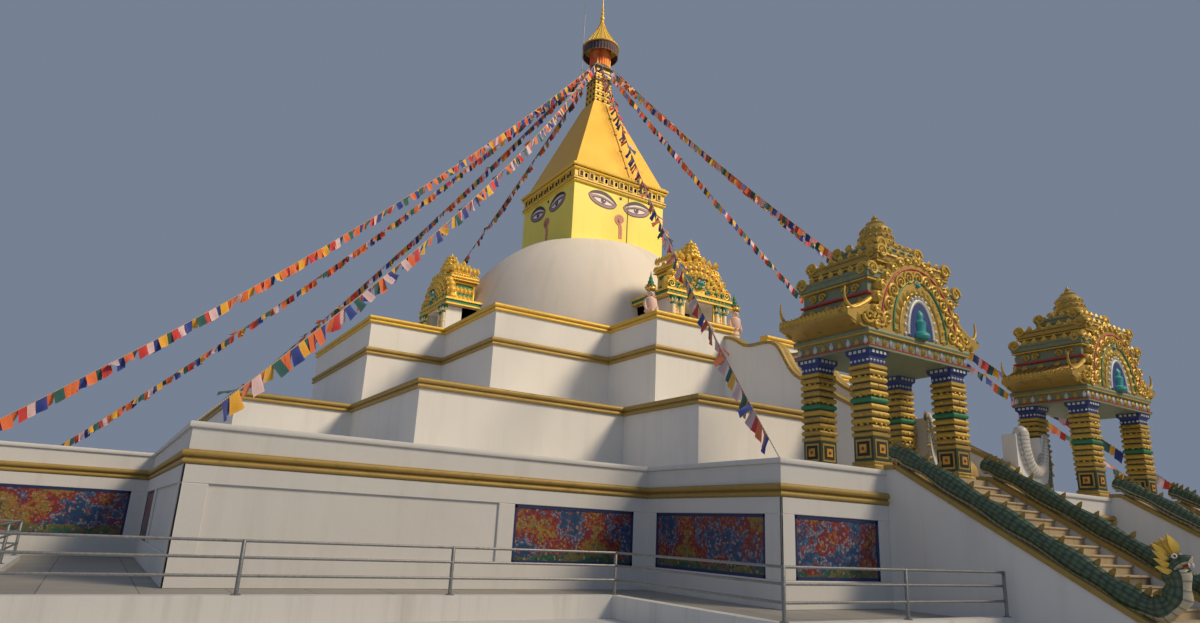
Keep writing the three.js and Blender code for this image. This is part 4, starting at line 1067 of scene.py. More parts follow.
SKIN_PINK = gilded("guardian_pink", (0.74, 0.52, 0.46), (0.46, 0.30, 0.26), 0.0, 0.5)
GATEWAY_FRONT = {"front": 10.05, "right": 9.05, "back": 9.05, "left": 9.05}
for spin, (side_name, front) in enumerate(GATEWAY_FRONT.items()):
    body = Mould()
    block(body, (-1.77, -front - 0.12, 8.64), (1.77, -5.0, PEDESTAL - 0.10), 0)
    block(body, (-1.82, -front - 0.17, PEDESTAL - 0.12), (1.82, -5.0, PEDESTAL), 0)
    block(body, (-1.82, -front - 0.17, 8.64), (1.82, -5.0, 8.80), 0)
    for k in range(3):
        block(body, (-1.62 + 1.14 * k, -front - 0.15, 8.95), (-0.66 + 1.14 * k, -front - 0.11, 9.55), 0)
    if side_name == "front":
        for step in range(1, 6):
            z = PEDESTAL - (PEDESTAL - 8.64) * step / 6
            block(body, (-1.02, -front - 0.13 - 0.30 * step, 8.64), (1.02, -front, z), 1)
            block(body, (-1.05, -front - 0.15 - 0.30 * step, z - 0.04), (1.05, -front, z + 0.004), 1)
        block(body, (-2.94, -front - 0.09, 8.64), (2.94, -front + 0.79, 9.70), 0)
        block(body, (-2.98, -front - 0.13, 9.66), (2.98, -front + 0.83, 9.78), 0)
        block(body, (-2.98, -front - 0.13, 8.64), (2.98, -front + 0.83, 8.80), 0)
    for flip in (-1, 1):
        block(body, (min(flip * DOOR, flip * PIER), -front, PEDESTAL), (max(flip * DOOR, flip * PIER), -4.5, DOOR_TOP), 0)
    block(body, (-PIER, -8.23, PEDESTAL), (PIER, -4.5, DOOR_TOP), 0)
    block(body, (-PIER, -front, DOOR_TOP - 0.06), (PIER, -4.5, DOOR_TOP + 0.02), 0)
    moved(body, 0, spin)
    body.cast(f"gateway_{side_name}_pedestal", [WHITE, CREAM], "white_masonry", 0, bevel=0.015,
              replaces=f"gateway_{side_name}")

    front_work = Mould()
    for flip in (-1, 1):
        def across(a, b, flip=flip):
            return min(flip * a, flip * b), max(flip * a, flip * b)

        for x in (1.06, 1.52):
            gilt_column(front_work, flip * x, -front - 0.03, PEDESTAL, DOOR_TOP, 0.115, 2, 1)
        low_x, high_x = across(1.20, 1.38)
        block(front_work, (low_x, -front - 0.05, PEDESTAL + 0.25), (high_x, -front + 0.05, DOOR_TOP - 0.4), 2)
        for k in range(10):
            leaf(front_work, (flip * 1.29, -front - 0.05, PEDESTAL + 0.30 + k * 0.155), (0, 0, 1), (0, -1, 0), 0.16, 0)
        low_x, high_x = across(0.84, 0.92)
        block(front_work, (low_x, -front - 0.04, PEDESTAL), (high_x, -front + 0.05, DOOR_TOP), 0)
        low_x, high_x = across(0.90, 1.74)
        block(front_work, (low_x, -front - 0.16, PEDESTAL), (high_x, -front + 0.1, PEDESTAL + 0.10), 2)
        for k in range(4):
            scroll(front_work, (flip * 1.29, -front - 0.12, PEDESTAL + 0.55 + 0.42 * k), (flip, 0, 0), (0, 0, 1),
                   (0, -1, 0), 0.10, 1.2, 1 if k % 2 else 0, 0.2)
    # Painted shade: a dark timber panel across the head of the door stands for the shadow under the lintel.
    block(front_work, (-0.85, -8.30, 11.60), (0.85, -8.235, 12.0), 3)
    block(front_work, (-0.85, -8.27, 9.80), (0.85, -8.235, 11.62), 5)
    for x, wide in ((-0.85, 0.08), (0.77, 0.08), (0.03, 0.13)):
        block(front_work, (x, -8.34, 9.80), (x + wide, -8.24, 11.70), 4)
    block(front_work, (-0.80, -8.335, 10.78), (0.80, -8.245, 10.88), 4)
    block(front_work, (-0.85, -8.34, 9.80), (0.85, -8.245, 9.92), 4)
    block(front_work, (-0.85, -8.345, 11.56), (0.85, -8.245, 11.66), 4)
    block(front_work, (-1.0, -front - 0.14, PEDESTAL - 0.005), (1.0, -front + 0.3, PEDESTAL + 0.06), 6)
    if side_name == "front":
        for flip in (-1, 1):
            at = (flip * 2.5, -front + 0.35)
            turned(front_work, [(0.37, 9.77), (0.38, 9.80), (0.38, 9.90), (0.30, 9.96), (0.33, 10.06), (0.33, 10.16),
                                (0.22, 10.26), (0.21, 10.40)], at, 24, 7)
            for k in range(12):
                turn = math.tau * k / 12
                leaf(front_work, (at[0] + 0.24 * math.cos(turn), at[1] + 0.24 * math.sin(turn), 9.98),
                     (math.cos(turn) * 0.5, math.sin(turn) * 0.5, 1), (math.cos(turn), math.sin(turn), 0), 0.2, 1)
            turned(front_work, [(0.21, 10.38), (0.24, 10.60), (0.25, 10.90), (0.22, 11.12), (0.27, 11.20),
                                (0.24, 11.28), (0.29, 11.44), (0.31, 11.62), (0.28, 11.76), (0.16, 11.84),
                                (0.12, 11.90)], at, 20, 7)
            for z in (10.45, 10.70, 10.95, 11.20):
                turned(front_work, [(0.20, z - 0.04), (0.275, z - 0.02), (0.275, z + 0.02), (0.20, z + 0.04)], at, 20, 0)
            for arm in (-1, 1):
                tube(front_work, [(at[0] + arm * 0.26, at[1], 11.66), (at[0] + arm * 0.33, at[1] - 0.05, 11.42),
                                  (at[0] + arm * 0.30, at[1] - 0.16, 11.18), (at[0] + arm * 0.08, at[1] - 0.32, 11.28)],
                     [0.08, 0.07, 0.06, 0.045], 8, 7)
                turned(front_work, [(0.06, 11.40), (0.085, 11.42), (0.085, 11.46), (0.06, 11.48)],
                       (at[0] + arm * 0.325, at[1] - 0.05), 10, 0)
            guardian_mask(front_work, (at[0], at[1] - 0.02, 12.02), 0.30, (7, 4, 5, 0))
            turned(front_work, [(0.22, 12.20), (0.26, 12.24), (0.24, 12.30), (0.16, 12.34)], at, 20, 0)
            turned(front_work, [(0.16, 12.33), (0.20, 12.42), (0.13, 12.50), (0.14, 12.58), (0.08, 12.68), (0.09, 12.74),
                                (0.04, 12.86), (0.02, 13.02), (0.001, 13.10)], at, 20, 1)
            for k in range(10):
                turn = math.tau * k / 10
                leaf(front_work, (at[0] + 0.19 * math.cos(turn), at[1] + 0.19 * math.sin(turn), 12.22),
                     (math.cos(turn) * 0.4, math.sin(turn) * 0.4, 1), (math.cos(turn), math.sin(turn), 0), 0.20, 0 if k % 2 else 8)
    moved(front_work, 0, spin)
    front_work.cast(f"gateway_{side_name}_columns",
                    [LEAF_GOLD, GREEN, CREAM, TIMBER, IVORY, GLASS, GOLD, SKIN_PINK, CRIMSON], "gold_paint", 35)

    crown = Mould()
    half = 1.93
    block(crown, (-half, -front - 0.15, DOOR_TOP + 0.01), (half, -4.5, DOOR_TOP + 0.08), 0)
    block(crown, (-half + 0.06, -front - 0.10, DOOR_TOP + 0.08), (half - 0.06, -4.5, LINTEL_TOP - 0.10), 1)
    block(crown, (-half, -front - 0.15, LINTEL_TOP - 0.10), (half, -4.5, LINTEL_TOP), 0)
    for k in range(15):
        leaf(crown, (-half + 0.15 + 0.233 * k, -front - 0.10, DOOR_TOP + 0.09), (0, 0, 1), (0, -1, 0), 0.18, 0)
    arch = [(1.70 * math.cos(math.pi * k / 28), LINTEL_TOP + 1.38 * math.sin(math.pi * k / 28)) for k in range(29)]
    plate(crown, arch, -front - 0.02, -front + 0.45, lambda u, y, v: (u, y, v), 0)
    for low_r, y, size, count, scrolls in ((1.34, -front - 0.04, 0.32, 15, 11),
                                           (1.02, -front - 0.07, 0.28, 13, 0), (0.74, -front - 0.09, 0.24, 11, 7)):
        leaf_arch(crown, 0, LINTEL_TOP, low_r, 0.82, y, size, 0, scrolls, 0.05, count)
    for k in range(13):
        turn = math.pi * k / 12
        c, h = math.cos(turn), math.sin(turn)
        bead(crown, (1.70 * c, -front + 0.20, LINTEL_TOP + 0.10 + 1.36 * h), 0.235, 0, 14, 0.95)
        scroll(crown, (1.70 * c + 0.12 * h, -front - 0.02, LINTEL_TOP + 0.10 + 1.36 * h - 0.12 * c),
               (h, 0, -c), (c, 0, h), (0, -1, 0), 0.13, 1.3, 0, 0.22)
    for r, paint in ((1.46, 2), (0.98, 1), (0.66, 0)):
        tube(crown, [(r * math.cos(math.pi * k / 24), -front - 0.03, LINTEL_TOP + 0.04 + r * 0.82 * math.sin(math.pi * k / 24))
                     for k in range(25)], 0.045, 8, paint)
    guardian_mask(crown, (0, -front + 0.02, LINTEL_TOP + 0.52), 0.50, (3, 4, 5, 0))
    for flip in (-1, 1):
        for x, z, size, paint in ((1.86, 0.20, 0.22, 0), (1.66, 0.12, 0.18, 1), (1.38, 0.14, 0.20, 1),
                                  (0.66, 0.14, 0.16, 3)):
            scroll(crown, (flip * x, -front - 0.06, LINTEL_TOP + z), (flip, 0, 0), (0, 0, 1), (0, -1, 0), size,
                   1.5, paint, 0.2)
        leaf(crown, (flip * 1.78, -front + 0.05, LINTEL_TOP + 0.02), (flip * 0.35, 0, 1), (0, -1, 0), 0.5, 0)
        leaf(crown, (flip * 1.70, -front - 0.05, LINTEL_TOP + 0.02), (flip * 0.5, 0, 1), (0, -1, 0), 0.26, 1)
    middle = -front + 0.95
    for wide, depth, low, top, paint in ((1.28, 0.50, LINTEL_TOP, 13.50, 1), (1.42, 0.54, 13.50, 13.75, 0),
                                         (0.95, 0.48, 13.75, 14.05, 0), (0.58, 0.70, 14.05, 14.32, 0)):
        slim = wide - 0.10
        square_rows(crown, [(slim, low), (slim, top - 0.10)], paint, (0, middle), depth)
        square_rows(crown, [(slim, low), (wide, low + 0.02), (wide, low + 0.06), (slim, low + 0.09)], 0, (0, middle), depth)
        square_rows(crown, [(slim, top - 0.13), (wide - 0.02, top - 0.11), (wide, top - 0.07), (wide - 0.02, top - 0.02),
                            (slim, top)], 0, (0, middle), depth)
        for level, size, step, out in ((top - 0.05, 0.17, 8, 0.04), (low + 0.08, 0.36, 5, 0.10),
                                       (low + 0.50, 0.36, 5, 0.10)):
            if level < top - 0.06 and not paint:
                continue
            for k in range(int(wide * step)):
                u = -wide + 2 * wide * (k + 0.5) / int(wide * step)
                for sign in (-1, 1):
                    leaf(crown, (u, middle + sign * (wide - out) * depth, level), (0, 0, 1), (0, sign, 0), size, 0, 0.8)
                    leaf(crown, (sign * (wide - out), middle + u * depth, level), (0, 0, 1), (sign, 0, 0), size, 0, 0.8)
        for sx in (-1, 1):
            for sy in (-1, 1):
                scroll(crown, (sx * wide * 0.98, middle + sy * wide * depth * 0.94, top - 0.04), (sx, 0, 0), (0, 0, 1),
                       (0, sy, 0), 0.10 + 0.05 * wide, 1.4, 0, 0.24)
                scroll(crown, (sx * wide * 0.96, middle + sy * wide * depth * 0.94, top - 0.04), (0, sy, 0), (0, 0, 1),
                       (sx, 0, 0), 0.10 + 0.04 * wide, 1.4, 0, 0.24)
                if paint:
                    turned(crown, [(0.09, low), (0.09, low + 0.10), (0.06, low + 0.14), (0.06, top - 0.20),
                                   (0.09, top - 0.14)], (sx * slim, middle + sy * slim * depth), 12, 0)
    tip = middle - 0.30
    turned(crown, sampled([(0.48, 14.28), (0.53, 14.34), (0.51, 14.41), (0.42, 14.45), (0.40, 14.52), (0.44, 14.60),
                           (0.42, 14.66), (0.32, 14.70), (0.31, 14.78), (0.35, 14.85), (0.32, 14.91), (0.21, 14.95),
                           (0.20, 15.01), (0.24, 15.06), (0.18, 15.11), (0.08, 15.16), (0.06, 15.22), (0.002, 15.34)], 3),
           (0, tip), 48, 0, 12, 0.12)
    for r, z in ((0.46, 14.36), (0.34, 14.68), (0.22, 14.95)):
        for k in range(10):
            turn = math.tau * k / 10
            leaf(crown, (r * math.cos(turn), tip + r * math.sin(turn), z), (math.cos(turn) * 0.4, math.sin(turn) * 0.4, 1),
                 (math.cos(turn), math.sin(turn), 0), 0.15, 0, 1.0)
    moved(crown, 0, spin)
    crown.cast(f"gateway_{side_name}_crown", [LEAF_GOLD, GREEN, CRIMSON, TEAL, IVORY, DARK_PAINT_AND_SHADE], "gold_paint", 40,
               replaces=f"gateway_{side_name}_roof")


# Upper stair: ochre stone treads with rounded nosings, from the roof of the
# ground storey to the gap in the parapet.
STAIR_HALF, THIRD_FLOOR, RISER = 0.95, 8.64, 0.18


def stone(name, tone, joint, course):
    """Sawn stone slabs with dark joints, trodden paler and dusty."""
    slab = Finish(name, Specular_IOR_Level=0.4)
    grain, tread = slab.noise(18, 5), slab.noise(1.3, 5)
    joints = slab.node("ShaderNodeTexBrick", {"offset": 0.5}, {
        "Vector": slab.spot(), "Scale": 1.0, "Brick Width": course, "Row Height": 0.32, "Mortar Size": 0.008,
        "Color1": tone, "Color2": tuple(v * 0.86 for v in tone), "Mortar": joint})
    colour = slab.mix(slab.band(tread, 0.4, 0.7) * 0.5, joints, tuple(min(1, v * 1.3) for v in tone))
    colour = slab.mix(slab.band(slab.noise(4, 6, 0.7), 0.58, 0.75) * 0.5, colour, tuple(v * 0.45 for v in tone))
    slab.wear(colour, 0.6 + grain * 0.3, grain + tread * 0.5, 0.003)
    return slab.material


OCHRE_STONE = stone("ochre_stone", (0.36, 0.275, 0.145), (0.12, 0.09, 0.055), 0.63)
PALE_STONE = stone("pale_tread_stone", (0.46, 0.36, 0.22), (0.14, 0.11, 0.08), 0.78)
dress("upper_stair", OCHRE_STONE)
noses = Mould()
for i in range(1, 30):
    edge = -14.36 - (i - 2) * 0.32 if i > 1 else -14.36
    edge -= 0.32 if i > 1 else 0
    z = THIRD_FLOOR - RISER * i
    tube(noses, [(-STAIR_HALF + 0.005, edge - 0.002, z - 0.024), (STAIR_HALF - 0.005, edge - 0.002, z - 0.024)], 0.028, 10)
noses.cast("upper_tread_noses", [OCHRE_STONE], "tread_stone", 50)


# Walls of the upper stair: white plaster with a gold-brown coping that drops in
# curves, and at the foot a white naga coil outlined with a scaled body.
def bent(start, *arcs, steps=8):
    """Points along joined cubic curves; an arc of one point is a straight."""
    line = [start]
    for arc in arcs:
        if len(arc) == 1:
            line.append(arc[0])
            continue
        (a, b), (c, d), (e, f), (g, h) = line[-1], *arc
        for k in range(1, steps + 1):
            t, s = k / steps, 1 - k / steps
            line.append((s ** 3 * a + 3 * s * s * t * c + 3 * s * t * t * e + t ** 3 * g,
                         s ** 3 * b + 3 * s * s * t * d + 3 * s * t * t * f + t ** 3 * h))
    return line


def scaled_skin(name, back, belly, rim):
    """Painted naga skin: overlapping scales on the back and ribbed plates below."""
    skin = Finish(name, Specular_IOR_Level=0.5)
    mark = skin.node("ShaderNodeTexCoord", out=2)
    along_body, around = skin.part(mark, 0), skin.part(mark, 1)
    laid = skin.node("ShaderNodeCombineXYZ", None, {0: along_body * 7.5, 1: around * 15.0, 2: 0.0})
    scales = skin.node("ShaderNodeTexVoronoi", None, {"Vector": laid, "Scale": 1.0, "Randomness": 0.25})
    plates = along_body * 9 % 1.0
    under = (around > 0.60) * (around < 0.90)
    tone = skin.mix(skin.band(scales, 0.25, 0.6), back, rim)
    cream = skin.mix(skin.band(plates, 0.72, 0.95), belly, tuple(v * 0.42 for v in belly))
    dirt = skin.band(skin.noise(4, 5, 0.7), 0.52, 0.75)
    colour = skin.mix(dirt * 0.45, skin.mix(under, tone, cream), (0.12, 0.11, 0.08))
    skin.wear(colour, 0.38 + dirt * 0.35, scales * (1 - under) * -1.0 + plates * under * 0.6, 0.02)
    return skin.material


NAGA_SKIN = scaled_skin("naga_scales", (0.085, 0.145, 0.080), (0.58, 0.52, 0.37), (0.03, 0.05, 0.03))
NAGA_GREY = scaled_skin("naga_scales_grey", (0.24, 0.27, 0.21), (0.70, 0.66, 0.56), (0.08, 0.09, 0.07))
NAGA_WHITE = scaled_skin("naga_scales_white", (0.62, 0.61, 0.56), (0.76, 0.73, 0.66), (0.33, 0.33, 0.30))
fall_line = bent((-13.4, 9.5), ((-14.3, 9.3), (-14.3, 8.95), (-14.9, 8.9)),
                 ((-15.5, 8.85), (-16.1, 9.0), (-16.45, 8.5)), ((-16.9, 7.85), (-16.9, 7.5), (-17.7, 7.1)),
                 ((-22.92, 4.3),), ((-23.42, 4.0), (-23.62, 4.0), (-23.62, 3.6)))
for side_name, flip in (("left", -1), ("right", 1)):
    dress(f"upper_stair_wall_{side_name}", WHITE)
    coping = Mould()
    rows = []
    for i, (y, z) in enumerate(fall_line):
        before, after = fall_line[max(i - 1, 0)], fall_line[min(i + 1, len(fall_line) - 1)]
        dy, dz = after[0] - before[0], after[1] - before[1]
        size = math.hypot(dy, dz)
        ny, nz = (dz / size, -dy / size)
        rows.append([(flip * x, y + ny * out, z + nz * out) for x, out in
                     ((0.91, -0.06), (0.89, 0.0), (0.91, 0.06), (0.98, 0.075), (1.05, 0.055), (1.15, 0.10),
                      (1.25, 0.055), (1.32, 0.075), (1.39, 0.06), (1.41, 0.0), (1.39, -0.06))])
    coping.rows(rows, ends=True)
    for i in range(4, len(fall_line) - 8, 2):
        y, z = fall_line[i]
        bead(coping, (flip * 1.40, y, z - 0.02), 0.05, 0)
    coping.cast(f"upper_wall_coping_{side_name}", [BRONZE], "bronze_band", 40)
    coil = Mould()
    inner = sampled([(1.56, 5.10), (1.60, 4.62), (1.82, 4.16), (2.20, 3.98), (2.56, 4.16), (2.72, 4.50),
                     (2.82, 4.86), (2.92, 5.14)], 5)
    tube(coil, [(flip * x, -23.60, z) for x, z in inner],
         [0.235 - 0.17 * (k / (len(inner) - 1)) ** 2 for k in range(len(inner))], 16, 2, marks=True)
    bead(coil, (flip * 1.56, -23.60, 5.09), 0.235, 2, 16)
    scroll(coil, (flip * 2.98, -23.60, 5.06), (flip, 0, 0), (0, 0, 1), (0, -1, 0), 0.13, 1.2, 2, 0.30)
    lower = sampled([(1.40, 3.62), (1.75, 3.42), (2.25, 3.34), (2.70, 3.48), (2.93, 3.90), (3.0, 4.4), (2.97, 5.0)], 5)
    tube(coil, [(flip * x, -23.62, z) for x, z in lower],
         [0.12 - 0.085 * k / (len(lower) - 1) for k in range(len(lower))], 12, 0, marks=True)
    for k in range(9):
        x, z = lower[3 + k * 3]
        leaf(coil, (flip * x, -23.66, z - 0.02), (flip * (x - 2.2), 0, z - 4.3), (0, -1, 0), 0.17, 1)
    leaf(coil, (flip * 2.90, -23.52, 4.95), (flip * 0.2, 0, 1), (0, -1, 0), 0.32, 1)
    coil.cast(f"naga_coil_{side_name}", [NAGA_GREY, BRONZE, NAGA_WHITE], "naga_paint", 50)


# Ground stairs: pale stone treads from the paving up to the gates. Each side
# wall carries a cement naga that runs down the slope and rears up at the foot.
for side_name, flip in (("left", -1), ("right", 1)):
    dress(f"ground_stair_{side_name}", PALE_STONE)
noses = Mould()
for flip in (-1, 1):
    for i in range(1, 18):
        z, edge = 3.24 - 0.18 * i, -25.2 - 0.30 * (i + 1)
        tube(noses, [(flip * 3.455, edge - 0.002, z - 0.024), (flip * 6.545, edge - 0.002, z - 0.024)], 0.028, 10)
noses.cast("ground_tread_noses", [PALE_STONE], "tread_stone", 50)

BODY = sampled([(-25.26, 3.66), (-25.55, 3.56), (-26.1, 3.27), (-27.1, 2.65), (-28.1, 2.04), (-29.1, 1.42),
                (-29.8, 0.98), (-30.25, 0.80), (-30.52, 0.92), (-30.63, 1.18), (-30.60, 1.42)], 6)
MOUTH_RED = gilded("mouth_red", (0.45, 0.04, 0.03), (0.2, 0.03, 0.02), 0.0, 0.4)


def naga_wall(x0, x1):
    wall = Mould()
    outline = [(-25.2, 3.30), (-25.5, 3.30), (-30.4, 0.42), (-30.75, 0.42), (-30.75, 0.0), (-25.2, 0.0)]
    plate(wall, outline, x0, x1, lambda u, x, v: (x, u, v), 0)
    cap_line = [(-25.2, 3.30), (-25.5, 3.30), (-30.4, 0.42), (-30.75, 0.42)]
    for (ya, za), (yb, zb) in zip(cap_line, cap_line[1:]):
        size = math.hypot(yb - ya, zb - za)
        ny, nz = (zb - za) / size * 0.05, -(yb - ya) / size * 0.05
        wall.rows([[(x0 - 0.03, y - ny, z - nz), (x1 + 0.03, y - ny, z - nz), (x1 + 0.03, y + ny, z + nz),
                    (x0 - 0.03, y + ny, z + nz)] for y, z in ((ya, za), (yb, zb))], 1, ends=True)
    x = (x0 + x1) / 2
    count = len(BODY)
    sizes = [0.15 + 0.02 * math.sin(k * 0.9) - (0.05 if k < 3 else 0) for k in range(count)]
    tube(wall, [(x, y, z) for y, z in BODY], sizes, 20, 2, flat=1.35, marks=True)
    for k in range(2, count - 6, 2):
        y, z = BODY[k]
        for flip in (-1, 1):
            leaf(wall, (x, y, z + 0.16), (0, -0.75, 1), (flip, 0, 0), 0.19, 1)
    head = (x, -30.60, 1.50)
    tube(wall, [(x, -30.52, 1.34), (x, -30.62, 1.52), (x, -30.74, 1.60), (x, -30.84, 1.62), (x, -30.88, 1.66)],
         [0.16, 0.17, 0.13, 0.10, 0.03], 16, 2, flat=0.7, marks=True)
    tube(wall, [(x, -30.56, 1.40), (x, -30.70, 1.42), (x, -30.80, 1.40), (x, -30.86, 1.44)],
         [0.12, 0.11, 0.08, 0.02], 14, 2, flat=0.45, marks=True)
    tube(wall, [(x, -30.66, 1.50), (x, -30.78, 1.50), (x, -30.86, 1.53)], [0.07, 0.05, 0.01], 8, 5, flat=0.4)
    for flip in (-1, 1):
        bead(wall, (x + flip * 0.12, -30.68, 1.65), 0.045, 4, 10)
        bead(wall, (x + flip * 0.145, -30.70, 1.655), 0.022, 6, 8)
        leaf(wall, (x + flip * 0.07, -30.85, 1.56), (0, -0.1, -1), (0, -1, 0), 0.09, 4)
        for k in range(4):
            leaf(wall, (x + flip * 0.12, -30.60 + k * 0.02, 1.40 + k * 0.09), (flip * 0.8, 0.55, 0.3 + k * 0.2),
                 (0, -1, 0.2), 0.26, 3)
    for k in range(4):
        leaf(wall, (x, -30.66 + k * 0.05, 1.68), (0, 0.25 + k * 0.28, 1), (0, -1, 0.3), 0.34 - k * 0.03, 3)
        leaf(wall, (x, -30.66 + k * 0.05, 1.68), (0, 0.25 + k * 0.28, 1), (1, 0, 0), 0.34 - k * 0.03, 3)
    return wall


for side_name, flip in (("left", -1), ("right", 1)):
    for place_name, (x0, x1) in (("inner", (3.05, 3.45)), ("outer", (6.55, 6.95))):
        wall = naga_wall(x0, x1)
        wall.points = [(flip * x, y, z) for x, y, z in wall.points]
        wall.cast(f"naga_{side_name}_{place_name}", [WHITE, BRONZE, NAGA_SKIN, LEAF_GOLD, IVORY, MOUTH_RED, DARK_PAINT_AND_SHADE],
                  "naga_paint", 45, replaces=f"naga_wall_{side_name}_{place_name}")


# Gate pavilions at the heads of the ground stairs: four banded posts, a
# grey-green beam frame, leafed gables round a blue niche, a stepped tiled roof
# with upturned horns, and a ringed bell finial. All moulded in cement and painted.
POST_GREEN = gilded("post_dark_green", (0.030, 0.060, 0.035), (0.02, 0.03, 0.02), 0.1, 0.4)
BEAM_GREEN = gilded("beam_grey_green", (0.20, 0.24, 0.15), (0.11, 0.11, 0.07), 0.1, 0.45)
NICHE_BLUE = gilded("niche_blue", (0.025, 0.05, 0.20), (0.02, 0.03, 0.07), 0.05, 0.35)
OLD_GOLD = gilded("old_gold", (0.46, 0.31, 0.075), (0.08, 0.065, 0.03), 0.5, 0.36, 0.75)
TILE_BROWN = gilded("roof_tile_brown", (0.30, 0.13, 0.035), (0.10, 0.055, 0.02), 0.25, 0.4)
AGED_LEAF = gilded("aged_leaf", (0.56, 0.365, 0.06), (0.06, 0.05, 0.022), 0.35, 0.38, 0.85)
PEARL = gilded("pearl_paint", (0.62, 0.64, 0.62), (0.30, 0.30, 0.28), 0.1, 0.4)
PAINTS = [OLD_GOLD, POST_GREEN, BEAM_GREEN, NICHE_BLUE, AGED_LEAF, TILE_BROWN, PEARL, CRIMSON, TEAL, IVORY,
          DARK_PAINT_AND_SHADE, CREAM, GREEN]
GATE_X, GATE_Y, GATE_FLOOR, BEAM = (3.1, 6.9), (-24.9, -22.7), 3.24, (6.15, 6.65)


def frame_rows(mould, low, high, section, paint=0):
    """A moulded block on an oblong: section gives (proud, height)."""
    mould.rows([[(low[0] - out, low[1] - out, z), (high[0] + out, low[1] - out, z),
                 (high[0] + out, high[1] + out, z), (low[0] - out, high[1] + out, z)] for out, z in section],
               paint, ends=True)


def gate_post(mould, x0, y0, wide=0.62):
    low, high = (x0, y0), (x0 + wide, y0 + wide)
    z = GATE_FLOOR
    frame_rows(mould, low, high, [(0.03, z), (0.03, z + 0.12), (0.0, z + 0.16), (0.02, z + 0.20), (-0.02, z + 0.24)], 0)
    frame_rows(mould, low, high, [(-0.03, z + 0.22), (-0.03, z + 0.86)], 1)
    frame_rows(mould, low, high, [(-0.04, z + 0.80), (0.0, z + 0.83), (0.0, z + 0.89), (-0.04, z + 0.92)], 0)
    for k in range(9):
        level = z + 0.94 + k * 0.167
        paint = 12 if k == 4 else (4 if k % 2 else 0)
        frame_rows(mould, low, high, [(-0.06, level), (-0.015, level + 0.02), (0.005, level + 0.055), (0.008, level + 0.075),
                                      (0.005, level + 0.095), (-0.015, level + 0.13), (-0.06, level + 0.15)], paint)
    frame_rows(mould, low, high, [(-0.045, z + 0.90), (-0.045, z + 2.5)], 1)
    frame_rows(mould, low, high, [(-0.02, z + 2.44), (0.01, z + 2.46), (0.01, z + 2.52), (-0.03, z + 2.55)], 4)
    frame_rows(mould, low, high, [(-0.03, z + 2.54), (-0.02, z + 2.74), (0.04, z + 2.80), (0.05, z + 2.91)], 3)
    middle_x, middle_y = x0 + wide / 2, y0 + wide / 2
    for turn in range(4):
        angle = math.pi / 2 * turn

        def on_post(u, out, v, angle=angle):
            return (middle_x + u * math.cos(angle) + out * math.sin(angle),
                    middle_y + u * math.sin(angle) - out * math.cos(angle), v)

        half = wide / 2
        for r, depth, paint in ((0.22, 0.0, 0), (0.17, 0.012, 10), (0.10, 0.024, 4)):
            block(mould, (-r, half - 0.04, z + 0.53 - r), (r, half - 0.03 + depth + 0.01, z + 0.53 + r), paint, on_post)
        bead(mould, on_post(0, half, z + 0.53), 0.045, 7)
        for k in range(5):
            bead(mould, on_post((k - 2) * 0.12, half - 0.015, z + 2.64), 0.034, 6)
        for k in range(4):
            block(mould, (-0.25 + 0.14 * k, half - 0.02, z + 2.81), (-0.17 + 0.14 * k, half + 0.055, z + 2.88), 6, on_post)
        for level in (1.10, 1.33, 1.79, 2.02, 2.25):
            bead(mould, on_post(0, half - 0.01, z + level), 0.05, 4)
            for flip in (-1, 1):
                bead(mould, on_post(flip * 0.17, half - 0.015, z + level), 0.032, 4)


